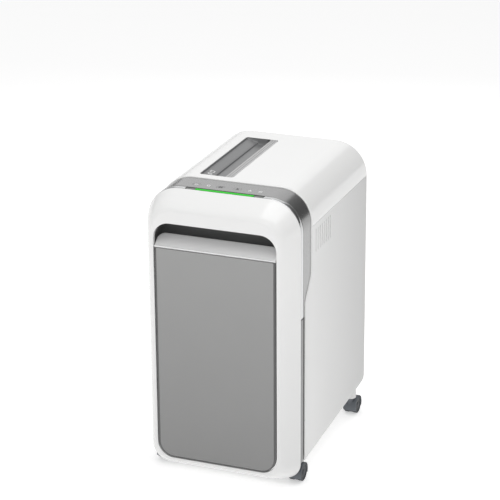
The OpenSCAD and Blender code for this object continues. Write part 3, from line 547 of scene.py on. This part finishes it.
# Casing.
def front_shell():
    """Rings round the opening. From the rear edge each ring draws in as one minus the 0.55th power of its
    depth, more at the top than at the sides, to the flat face, turns in at the opening, and comes back
    inside. The underside rises by the same power, from the skirt to the face."""
    depth = shell_back - front_y
    skirt_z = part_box("front_shell")[0].z
    skin = 2.6 * MM
    face_inset = 36 * MM

    def ring(t, inside=0.0, extra=0.0):
        inset = SUNK + extra + (face_inset - SUNK) * (1 - t ** 0.55)
        low = skirt_z + (mouth_low - 3.4 * MM - skirt_z) * (inset - SUNK) / (face_inset - SUNK)
        shape = outline(half_w - inset - inside, low + inside, top_z - 1.06 * inset - inside,
                        TOP_R - 0.85 * inset - inside, SKIRT_R - inside)
        return upright(shape, front_y + depth * t + (inside if t < 1 else 0))

    def mouth(grow, back):
        r = MOUTH_R + grow
        shape = outline(mouth_half + grow, mouth_low - grow, mouth_high + grow, r, r)
        return upright(shape, front_y + back)

    edge = 1.0 * MM
    outside = [ring(1, extra=edge), ring(1, extra=0.4 * edge), ring(0.985)]
    outside += [ring(s ** 2.2) for s in np.linspace(0.985, 0, 26)]
    turn = np.radians(np.linspace(0, 90, 5))
    lip = [mouth(edge * (1 - np.sin(a)), edge * (1 - np.cos(a))) for a in turn]
    flange = [mouth(0, 4 * MM), mouth(0, 9 * MM), mouth(2.2 * MM, 9 * MM), mouth(2.2 * MM, 6.5 * MM)]
    inside = [ring(s ** 2.2, inside=skin) for s in np.linspace(0.28, 1, 14)]
    return piece("front_casing", [loft(outside + lip + flange + inside, closed=True)], gloss_white, "case",
                 ["front_shell"])


def top_cover():
    """The rear part of the case outline above the seam, with the hole for the slot insert."""
    low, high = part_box("slot_insert")
    hole = (over_length(high.x + 0.3 * MM, seam_z), over_length(low.x - 0.3 * MM, seam_z),
            low.y - 0.3 * MM, high.y + 0.3 * MM, 7 * MM)
    wall = panel(over_path(seam_z), band_edge, rear_y, front_edge=2.0 * MM, back_edge=1.6 * MM,
                 edge=0.5 * MM, holes=[hole])
    return piece("top_casing", [wall], gloss_white, "case", ["top_cover"])


def side_panels():
    """Below the seam: the front edge follows the silver band, and slots let the motor's air out."""
    stop = seam_z - 0.4 * MM
    vent_low, vent_high, vent_y, vent_step, vent_wide = 515 * MM, 568 * MM, -101 * MM, 13 * MM, 3 * MM
    for name, flip in (("side_panel_right", False), ("side_panel_left", True)):
        path = side_path(stop)
        total = measured(path)[0][-1]
        low, high = total - (stop - vent_low), total - (stop - vent_high)
        if flip:
            path = mirrored(path)
            low, high = total - high, total - low
        vents = [(low, high, y, y + vent_wide, 1.45 * MM) for y in vent_y + vent_step * np.arange(8)]
        points, faces = panel(path, band_edge, rear_y, front_edge=2.2 * MM, back_edge=1.6 * MM, edge=0.5 * MM,
                              holes=vents)
        side = -1 if flip else 1
        x, y0 = side * (half_w - 3.6 * MM), vent_y - 3 * MM
        louvre = panel(np.array([(x, vent_low - 4 * MM), (x, vent_high + 4 * MM)])[::side], y0,
                       y0 + 100 * MM, thick=1.5 * MM, step=20 * MM)
        piece(name.replace("panel", "casing"), [(opened_corner(points), faces), louvre], satin_white, "case",
              [name])


BUTTONS = {"power_button": -75 * MM, "reverse_button": -20 * MM, "forward_button": 18 * MM}
BUTTON_W, BUTTON_D, BUTTON_Y = 17 * MM, 11 * MM, -150 * MM


def silver_band():
    """The band over the top and down both sides, a little below the casings, with three button holes."""
    stop = strip_gap_z
    holes = [(over_length(x + BUTTON_W / 2 + 0.3 * MM, stop), over_length(x - BUTTON_W / 2 - 0.3 * MM, stop),
              BUTTON_Y - BUTTON_D / 2 - 0.3 * MM, BUTTON_Y + BUTTON_D / 2 + 0.3 * MM, 2.3 * MM)
             for x in BUTTONS.values()]
    path = over_path(stop)
    # The band's own front edge is straight and its rear edge draws in, so depth is counted backwards.
    wall = panel(path, lambda z: -(band_edge(z) - 0.3 * MM), -band_front, edge=0.6 * MM, sunk=SUNK,
                 thick=2.4 * MM, holes=[(h[0], h[1], -h[3], -h[2], h[4]) for h in holes],
                 place=lambda across, up, depth: np.stack([across, -depth, up], -1))
    return piece("silver_band", [wall], band_silver, "case", ["trim_band"])


def edge_strips():
    """Bright strips in front of the band: each is a bead whose long edges fall away."""
    gap = 0.5 * MM
    light_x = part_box("light_housing")[1].x + 0.4 * MM
    y0, y1 = strip_front + gap, strip_back - gap
    upper = over_path(strip_gap_z)
    keep = measured(upper)[0] < over_length(light_x, strip_gap_z)
    right = np.concatenate([upper[keep], [(light_x, top_z)]])
    parts = [panel(p, y0, y1, edge=0.8 * MM, sunk=SUNK - 0.6 * MM, crown=1.1 * MM, thick=2.6 * MM)
             for p in (right, mirrored(right))]
    piece("edge_strips_upper", parts, strip_silver, "case", ["edge_strip_upper"])
    low_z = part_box("edge_strip_lower")[0].z
    side = side_path(strip_gap_z - 2 * MM, FRONT_BOTTOM_R)
    lower = side[side[:, 1] >= low_z]
    beads = [panel(path, y0, y1, edge=0.8 * MM, sunk=SUNK - 0.6 * MM, crown=0.8 * MM, thick=2.6 * MM)
             for path in (lower, mirrored(lower))]
    # Painted shade: the recessed grooves behind the lower beads are dark grey where shade falls.
    grooves = [panel(path, y1 + gap, side_front - 0.4 * MM, edge=0.5 * MM, sunk=SUNK + 1.2 * MM,
                     thick=2.0 * MM)
               for path in (lower, mirrored(lower))]
    # Painted shade: the lower beads take the darker copy of the strip silver.
    piece("edge_strips_lower", beads, strip_silver_shaded, "case", ["edge_strip_lower"])
    piece("edge_grooves_lower", grooves, gap_shade_grey, "case", ["edge_strip_lower"])


def light_bar():
    """A green window in a dark housing that fills the groove between the shell and the band."""
    end_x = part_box("light_housing")[1].x
    lens_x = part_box("light_lens")[1].x
    z = top_z - SUNK + 0.2 * MM
    y0, y1 = strip_front + 0.3 * MM, strip_back - 0.4 * MM

    def bar(x0, x1, front, back, **more):
        path = np.stack([np.linspace(x1, x0, 24), np.full(24, z)], 1)
        return panel(path, front, back, edge=0.4 * MM, **more)

    window = bar(-lens_x, lens_x, y0 + 1.2 * MM, y1 - 3.2 * MM, thick=1.4 * MM, crown=0.3 * MM)
    piece("light_window", [window], lens_green, "case", ["light_lens"])
    piece("light_surround", [bar(-end_x, end_x, y0, y1, thick=4 * MM, sunk=1.5 * MM)], light_dark, "case",
          ["light_housing"])


def press_buttons():
    """Three push buttons flush with the band, each a rounded cap on a round stem."""
    for node, x in BUTTONS.items():
        low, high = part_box(node)
        face = high.z - SUNK
        rings = []
        half, deep = BUTTON_W / 2, BUTTON_D / 2

        def cap(inset, z, r=2.2 * MM):
            shape = outline(half - inset, BUTTON_Y - deep + inset, BUTTON_Y + deep - inset, r - inset,
                            r - inset, n_arc=8, n_line=6)
            return level(shape + np.array([x, 0]), z)

        edge = 0.5 * MM
        for a in np.radians(np.linspace(0, 90, 5)):
            rings.append(cap(edge * (1 - np.cos(a)), face - edge * (1 - np.sin(a))))
        rings = [cap(deep, face - 1.4 * MM), cap(0, face - 1.4 * MM)] + rings
        rings += [cap(1.2 * MM, face), cap(deep, face)]
        stem = lathe([(0, low.z), (2 * MM, low.z), (2 * MM, face - 1 * MM), (0, face - 1 * MM)],
                     (x, BUTTON_Y, 0), (0, 0, 1), n=32)
        piece(node + "_cap", [loft(rings), stem], band_silver, node + "_cap", [node])


def chevron(x, y, size, way):
    """Three points of an arrow head that points along way, +1 to the right."""
    reach = way * size * 0.3
    return [(x - reach, y + size / 2), (x + reach, y), (x - reach, y - size / 2)]


def signs():
    """Small printed signs: a ring with a stroke for power, double and single arrows, and three lamps."""
    z = top_z - SUNK
    thick = 0.12 * MM

    def mark(name, paths, look, body, stroke=1.2 * MM):
        parts = [ribbon(path, stroke, z, thick) for path in paths]
        piece(name, parts, look, body)

    a = np.radians(np.linspace(120, 420, 30))
    x, y = BUTTONS["power_button"], BUTTON_Y
    ring = np.stack([x + 3.3 * MM * np.cos(a), y - 0.5 * MM + 3.3 * MM * np.sin(a)], 1)
    mark("power_sign", [ring, [(x, y - 0.5 * MM), (x, y + 3.8 * MM)]], icon_white, "power_button_cap")
    x = BUTTONS["reverse_button"]
    mark("reverse_sign", [chevron(x - 2.6 * MM, y, 8 * MM, -1), chevron(x + 2.6 * MM, y, 8 * MM, -1)],
         icon_dark, "reverse_button_cap", 1.7 * MM)
    x = BUTTONS["forward_button"]
    mark("forward_sign", [chevron(x, y, 8 * MM, 1)], icon_dark, "forward_button_cap", 1.7 * MM)
    s = 3.2 * MM
    bin_x, heat_x, door_x = -48 * MM, 47 * MM, 70 * MM
    x = bin_x
    bin_lamp = [[(x - s, y + s), (x - 0.7 * s, y - s), (x + 0.7 * s, y - s), (x + s, y + s)],
                [(x - s, y + 1.3 * s), (x + s, y + 1.3 * s)]]
    x = heat_x
    heat_lamp = [[(x - s, y - s), (x, y + s), (x + s, y - s), (x - s, y - s)],
                 [(x, y - 0.5 * s), (x, y + 0.3 * s)]]
    x = door_x
    door_lamp = [[(x - s, y - s), (x - s, y + s), (x + s, y + s), (x + s, y - s), (x - s, y - s)],
                 [(x - s, y), (x + s, y)]]
    mark("status_signs", bin_lamp + heat_lamp + door_lamp, icon_white, "case")


def slot_insert():
    """The entry that guides paper to the throat. Its section falls in a slope from the left, drops down
    the throat, and climbs the other side in three steps; both ends rise to the rim in a short curve."""
    low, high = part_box("slot_insert")
    throat_low = low.z - top_z
    left, right = THROAT_X - 3 * MM, THROAT_X + 3 * MM
    section = [(low.x, 0), (low.x + 1.2 * MM, -0.05 * MM), (low.x + 1.8 * MM, -0.6 * MM),
               (low.x + 2.6 * MM, -3 * MM), (low.x + 3.6 * MM, -3.8 * MM), (low.x + 26 * MM, -9.5 * MM),
               (low.x + 27 * MM, -10.2 * MM), (low.x + 27.8 * MM, -12.4 * MM), (low.x + 28.8 * MM, -13 * MM),
               (left - 8 * MM, -14.2 * MM), (left - 3 * MM, -14.8 * MM), (left - 0.6 * MM, -15.8 * MM),
               (left, -17 * MM), (left, throat_low)]
    steps = [(right, throat_low), (right, -3.6 * MM), (right + 0.6 * MM, -2.8 * MM)]
    for start, face in ((0.6, -2.5), (7.4, -1.7), (14.2, -0.9)):
        x = right + start * MM
        steps += [(x + 0.3 * MM, face * MM), (x + 5.2 * MM, face * MM), (x + 5.5 * MM, (face - 1.6) * MM),
                  (x + 6.5 * MM, (face - 1.6) * MM)]
    steps = steps[:-2] + [(high.x - 0.7 * MM, -0.8 * MM), (high.x - 0.4 * MM, -0.05 * MM), (high.x, 0)]

    def finer(points, n=4):
        points = np.array(points)
        t = np.arange(n) / n
        parts = [p + (q - p) * t[:, None] for p, q in zip(points[:-1], points[1:])]
        return np.concatenate(parts + [points[-1:]])

    left_part, right_part = finer(section), finer(steps)
    across = np.concatenate([left_part, right_part])
    rise = 2.5 * MM
    t = np.linspace(0, 1, 9)
    ends = rise * t
    between = np.linspace(low.y + rise, high.y - rise, 24)[1:-1]
    y = np.concatenate([low.y + ends, between, high.y - ends[::-1]])
    share = np.concatenate([np.sin(t * np.pi / 2) ** 0.8, np.ones(22), np.sin(t[::-1] * np.pi / 2) ** 0.8])
    z = top_z + across[:, 1][:, None] * share[None]
    r = 6.7 * MM
    to_end = np.minimum(np.minimum(y - low.y, high.y - y), r)
    draw = r - np.sqrt(r ** 2 - (r - to_end) ** 2)
    x = np.clip(across[:, 0][:, None], (low.x + draw)[None], (high.x - draw)[None])
    outer = np.stack([x, np.repeat(y[None], len(across), 0), z], -1)
    thick = 1.8 * MM
    inner = outer.copy()
    lean = np.zeros(len(across))
    lean[:len(left_part)] = np.where(across[:len(left_part), 0] >= left - 0.2 * MM, -thick, 0)
    lean[len(left_part):] = np.where(across[len(left_part):, 0] <= right + 0.2 * MM, thick, 0)
    inner[..., 0] += lean[:, None]
    inner[..., 2] -= np.where(np.abs(lean) > 0, 0, thick)[:, None]
    inner[..., 2] = np.maximum(inner[..., 2], low.z)
    keep = np.ones((len(across) - 1, len(y) - 1), bool)
    keep[len(left_part) - 1, 8:-8] = False
    body = piece("slot_guide", [slab(outer, inner, keep)], slot_grey, "case", ["slot_insert"],
                 corner=40)
    body.data.materials.append(rail_grey)
    centres = np.zeros(len(body.data.polygons) * 3)
    body.data.polygons.foreach_get("center", centres)
    on_rail = centres[::3] > right + 0.5 * MM
    body.data.polygons.foreach_set("material_index", on_rail.astype(np.int32))
    slope = -5.7 / 22.4

    def on_ramp(path):
        """A stroke laid on the sloping entry."""
        points, faces = ribbon(path, 1.4 * MM, 0, 0.16 * MM)
        points[:, 2] += top_z - 3.70 * MM + slope * (points[:, 0] - low.x - 3.6 * MM)
        return points, faces

    a = np.radians(np.arange(0, 361, 15))
    x, y, size = low.x + 14 * MM, low.y + 26 * MM, 4.2 * MM
    ring = np.stack([x + size * np.cos(a), y + size * np.sin(a)], 1)
    bar = [(x - size * 0.7, y - size * 0.7), (x + size * 0.7, y + size * 0.7)]
    y += 15 * MM
    card = [(x - size, y - size), (x + size, y - size), (x + size, y + size), (x - size, y + size),
            (x - size, y - size)]
    piece("entry_signs", [on_ramp(path) for path in (ring, bar, card)], icon_white, "case")
    return body


def finger_recess():
    """A dark pocket over the handle: the opening's outline carried back, then turned into a rear wall."""
    low_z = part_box("recess_liner")[0].z
    half, ceiling = 142.5 * MM, mouth_high + 1.5 * MM
    back = -178 * MM
    fillet = 12 * MM
    start = front_y + 5 * MM

    def arch(inset):
        """The path up the left side, over and down the right side, drawn in by inset."""
        h, top, r = half - inset, ceiling - inset, max(MOUTH_R - inset, 0.01 * MM)
        h, r = max(h, 0.02 * MM), min(r, max(h, 0.02 * MM))
        left = arc_points(-h + r, top - r, r, 180, 90, 16)
        right = arc_points(h - r, top - r, r, 90, 0, 16)
        rise = np.stack([np.full(12, -h), low_z + (top - r - low_z) * ease(12)], 1)
        flat = np.stack([(-h + r) + 2 * (h - r) * ease(24)[1:], np.full(23, top)], 1)
        return np.concatenate([rise, left, flat, right, rise[::-1] * np.array([-1, 1])])

    turn = np.radians(np.linspace(0, 90, 9))
    rows = [(0, start), (0, start + 2 * MM), (0, (start + back) / 2)]
    rows += [(fillet * (1 - np.cos(a)), back - fillet + fillet * np.sin(a)) for a in turn]
    rows += [(fillet + (half - fillet) * t, back) for t in np.linspace(0, 1, 7)[1:]]
    outer = np.array([upright(arch(d), y) for d, y in rows])
    behind = [(d - 2 * MM, y + (2 * MM if y >= back - 0.5 * MM else 0)) for d, y in rows]
    inner = np.array([upright(arch(d), y) for d, y in behind])
    wall = slab(outer, inner, np.ones((outer.shape[0] - 1, outer.shape[1] - 1), bool))
    return piece("finger_recess", [wall], recess_dark, "case", ["recess_liner"])


# Bin.
def bin_front():
    """A plate with rounded lower corners and a sloped handle above it. The door plate round the panel is dark
    grey and a near-black plate fills the groove under the handle, both painted shade; a white strip along the
    handle's lower edge is a painted highlight."""
    half = mouth_half - 1.8 * MM
    face = front_y + 1.5 * MM
    low = mouth_low + 1.8 * MM
    panel_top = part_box("bin_panel")[1].z
    lip_low = panel_top + 2.3 * MM
    door = plate(half, low, panel_top - 1.2 * MM, 1.0 * MM, MOUTH_R - 1.8 * MM, face, 4 * MM, 1.2 * MM)
    rise, run = lip_top - lip_low, lip_back - 6 * MM - front_y
    points, faces = plate(half, 0, math.hypot(rise, run), 21 * MM, 1.6 * MM, 0, 4 * MM, 1.6 * MM)
    turn = np.array(Matrix.Rotation(-math.atan2(run, rise), 3, "X"))
    sloped = points @ turn.T + np.array([0, front_y + 0.2 * MM, lip_low])
    flange = plate(half - 4 * MM, lip_top - 32 * MM, lip_top - 2 * MM, 19 * MM, 2 * MM, lip_back - 6 * MM,
                   4 * MM, 1 * MM)
    # Painted shade: the door plate showing round the satin panel is dark grey, standing in for the shadow
    # gap.
    piece("bin_door", [door, flange], gap_shade_grey, "bin", ["bin_front"])
    piece("bin_lip", [(sloped, faces)], lip_silver, "bin", ["bin_front"])
    # Painted highlight: a thin white strip along the handle's lower edge.
    line = plate(half - 0.4 * MM, lip_low - 0.2 * MM, lip_low + 2.2 * MM, 0.5 * MM, 0.5 * MM,
                 front_y + 0.1 * MM, 2.4 * MM, 0.5 * MM)
    piece("bin_lip_highlight", [line], highlight_white, "bin", ["bin_front"])
    # Painted shade: a near-black plate behind the gap between the handle and the panel.
    gap_shade_plate = plate(half - 1.5 * MM, panel_top - 30 * MM, panel_top + 2.4 * MM, 2 * MM, 2 * MM,
                   face + 2.0 * MM, 1.8 * MM, 0.3 * MM)
    piece("bin_groove_shade", [gap_shade_plate], gap_shade_black, "bin", ["bin_front"])


def bin_panel():
    """The satin panel on the bin front: a plate with a fine rolled edge."""
    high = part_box("bin_panel")[1]
    skin = plate(high.x - 0.4 * MM, mouth_low + 4.6 * MM, high.z - 0.3 * MM, 2.5 * MM, 31 * MM, front_y,
                 1.6 * MM, 0.8 * MM)
    return piece("bin_face", [skin], panel_silver, "bin", ["bin_panel"])


def bin_tub():
    """A deep tub. Matching outlines rise from the middle of the floor, round its foot, up the wall, over
    the rolled rim and down again inside."""
    low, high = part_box("bin_tub")
    half, rim = high.x - 5 * MM, 5 * MM
    y0, y1 = low.y, high.y - rim
    foot = 26 * MM
    wall = 2.5 * MM

    def ring(inset, z, wide=0.0):
        shape = outline(half - inset + wide, y0 + inset, y1 - inset + wide, 30 * MM - inset + wide,
                        14 * MM - inset + wide)
        return level(shape, z)

    turn = np.radians(np.linspace(0, 90, 9))
    rings = [ring(foot + (half - foot) * t, low.z) for t in np.linspace(1, 0, 6)]
    rings += [ring(foot * (1 - np.sin(a)), low.z + foot * (1 - np.cos(a))) for a in turn]
    rings += [ring(0, low.z + foot + (high.z - low.z - foot - 4 * MM) * t) for t in (0.1, 0.5, 0.9, 1)]
    rings += [ring(0, high.z - 4 * MM, rim - 0.6 * MM), ring(0, high.z - 3.4 * MM, rim),
              ring(0, high.z - 1 * MM, rim), ring(0, high.z, rim - 1 * MM), ring(0, high.z, 0.6 * MM - wall),
              ring(wall, high.z - 0.6 * MM)]
    rings += [ring(wall, low.z + foot + (high.z - low.z - foot - 4 * MM) * t) for t in (0.9, 0.5, 0.1)]
    rings += [ring(wall + (foot - wall) * (1 - np.sin(a)), low.z + wall + (foot - wall) * (1 - np.cos(a)))
              for a in turn[::-1]]
    rings += [ring(foot + (half - foot) * t, low.z + wall) for t in np.linspace(0, 1, 6)]
    return piece("shred_tub", [loft(rings)], tub_grey, "bin", ["bin_tub"], corner=50)


# Casters.
def casters():
    """Twin-wheel casters: a hood bent over both wheels, a web between them and a stem up into the case."""
    for key in ("fl", "fr", "rl", "rr"):
        hood_low, hood_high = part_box("caster_hood_" + key)
        wheel_low, wheel_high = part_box("caster_wheels_" + key)
        r = (wheel_high.z - wheel_low.z) / 2
        x = (wheel_low.x + wheel_high.x) / 2
        axle_y, axle_z = (wheel_low.y + wheel_high.y) / 2, wheel_low.z + r
        trail = 1 if hood_high.y - axle_y < axle_y - hood_low.y else -1
        half = (hood_high.x - hood_low.x) / 2
        hood_r = 2.2 * MM + r
        path = arc_points(axle_y, axle_z, hood_r, -25, 205, 60)
        hood = panel(path, x - half, x + half, thick=1.3 * MM, edge=0.6 * MM, step=3 * MM,
                     place=lambda across, up, depth: np.stack([depth, across, up], -1))
        cheek = [(0, -3.4), (17.6, -3.4), (19, -2.6), (19.4, 0), (19, 2.6), (17.6, 3.4), (0, 3.4)]
        web = lathe([(a * MM, b * MM) for a, b in cheek], (x, axle_y, axle_z), (1, 0, 0))
        stem_y = axle_y - trail * 15 * MM
        neck = [(0, hood_high.z), (5.0, hood_high.z), (5.5, hood_high.z - 0.6 * MM), (5.5, 42.6 * MM),
                (9.0, 42.4 * MM), (9.6, 41.6 * MM), (9.6, 40.4 * MM), (8.0, 38.5 * MM), (6.5, 34 * MM),
                (6.0, 26 * MM), (0, 26 * MM)]
        stem = lathe([(a * MM, h) for a, h in neck], (x, stem_y, 0), (0, 0, 1), n=48)
        piece("hood_" + key, [hood, web, stem], hood_slate, "caster_fork_" + key, ["caster_hood_" + key])
        tread = [(0, 4.3), (r / MM - 1.2, 4.3), (r / MM - 0.3, 4.8), (r / MM, 5.8), (r / MM, 13.2),
                 (r / MM - 0.5, 14.4), (r / MM - 1.8, 15.1), (r / MM - 3.4, 15.2), (r / MM - 4.4, 14.6),
                 (r / MM - 5.0, 13.4), (7, 13.2), (6, 14.4), (4.6, 14.9), (0, 15.0)]
        wheels = [lathe([(a * MM, s * b * MM) for a, b in tread], (x, axle_y, axle_z), (1, 0, 0))
                  for s in (-1, 1)]
        axle = lathe([(0, -4.4 * MM), (3 * MM, -4.4 * MM), (3 * MM, 4.4 * MM), (0, 4.4 * MM)],
                     (x, axle_y, axle_z), (1, 0, 0), n=32)
        piece("wheels_" + key, wheels + [axle], tread_slate, "caster_roll_" + key, ["caster_wheels_" + key])


# Studio.
def area_light(name, place, aim, size, power):
    """A soft square lamp at place, pointed at aim."""
    lamp = bpy.data.lights.new(name, "AREA")
    lamp.size = size
    lamp.energy = power
    obj = bpy.data.objects.new(name, lamp)
    obj.location = place
    obj.rotation_mode = "QUATERNION"
    obj.rotation_quaternion = (Vector(aim) - Vector(place)).to_track_quat("-Z", "Y")
    bpy.context.scene.collection.objects.link(obj)


def studio():
    """A pale floor under a surround that is bright over the left and front and dim to the right rear, with
    three large soft lamps."""
    bpy.context.scene.view_settings.view_transform = "Standard"
    world = bpy.data.worlds.new("surround")
    world.use_nodes = True
    nodes, links = world.node_tree.nodes, world.node_tree.links
    place = nodes.new("ShaderNodeTexCoord")
    toward = nodes.new("ShaderNodeVectorMath")
    toward.operation = "DOT_PRODUCT"
    toward.inputs[1].default_value = (-0.45, -0.55, 0.70)
    ramp = nodes.new("ShaderNodeMapRange")
    ramp.interpolation_type = "SMOOTHSTEP"
    ramp.inputs["From Min"].default_value = -0.55
    ramp.inputs["From Max"].default_value = 0.5
    ramp.inputs["To Min"].default_value = 0.10
    ramp.inputs["To Max"].default_value = 0.68
    nodes["Background"].inputs["Color"].default_value = (1, 1, 1, 1)
    links.new(place.outputs["Generated"], toward.inputs[0])
    links.new(toward.outputs["Value"], ramp.inputs["Value"])
    links.new(ramp.outputs["Result"], nodes["Background"].inputs["Strength"])
    bpy.context.scene.world = world
    middle = (0, 0, 0.35)
    area_light("key", (0.2, -2.5, 2.0), middle, 1.6, 5.5)
    area_light("overhead", (0.6, 0.0, 2.7), middle, 2.2, 25)
    area_light("rear_card", (-0.6, 2.3, 1.5), middle, 1.8, 6.5)
    half = 30
    mesh = bpy.data.meshes.new("floor")
    corners = [(-half, -half, 0), (half, -half, 0), (half, half, 0), (-half, half, 0)]
    mesh.from_pydata(corners, [], [(0, 1, 2, 3)])
    floor = bpy.data.objects.new("floor", mesh)
    bpy.context.scene.collection.objects.link(floor)
    floor_white = finish("floor_white", (0.80, 0.80, 0.80), 0.6, grain=(200, 0.02), mottle=0.005)
    shader = floor_white.node_tree.nodes["Principled BSDF"]
    shader.inputs["Emission Color"].default_value = (1, 1, 1, 1)
    shader.inputs["Emission Strength"].default_value = 0.46
    mesh.materials.append(floor_white)


def camera():
    """A long lens, level with a point above the case, to the right of its front and looking down."""
    yaw, pitch, tilt = math.radians(21.58), math.radians(20.68), math.radians(0.405)
    ahead = Vector((-math.sin(yaw) * math.cos(pitch), math.cos(yaw) * math.cos(pitch), -math.sin(pitch)))
    across = Vector((math.cos(yaw), math.sin(yaw), 0))
    across = Matrix.Rotation(tilt, 3, ahead) @ across
    up = across.cross(ahead)
    lens = bpy.data.cameras.new("camera")
    lens.lens = 146.0
    lens.sensor_width = 36
    lens.clip_start, lens.clip_end = 0.05, 100
    obj = bpy.data.objects.new("camera", lens)
    turn = Matrix((across, up, -ahead)).transposed()
    obj.matrix_world = Matrix.Translation((1.5249, -3.8907, 2.0383)) @ turn.to_4x4()
    bpy.context.scene.collection.objects.link(obj)
    bpy.context.scene.camera = obj


camera()
studio()
dress_frame_nodes()
front_shell()
top_cover()
side_panels()
silver_band()
edge_strips()
light_bar()
press_buttons()
signs()
slot_insert()
finger_recess()
bin_front()
bin_panel()
bin_tub()
casters()
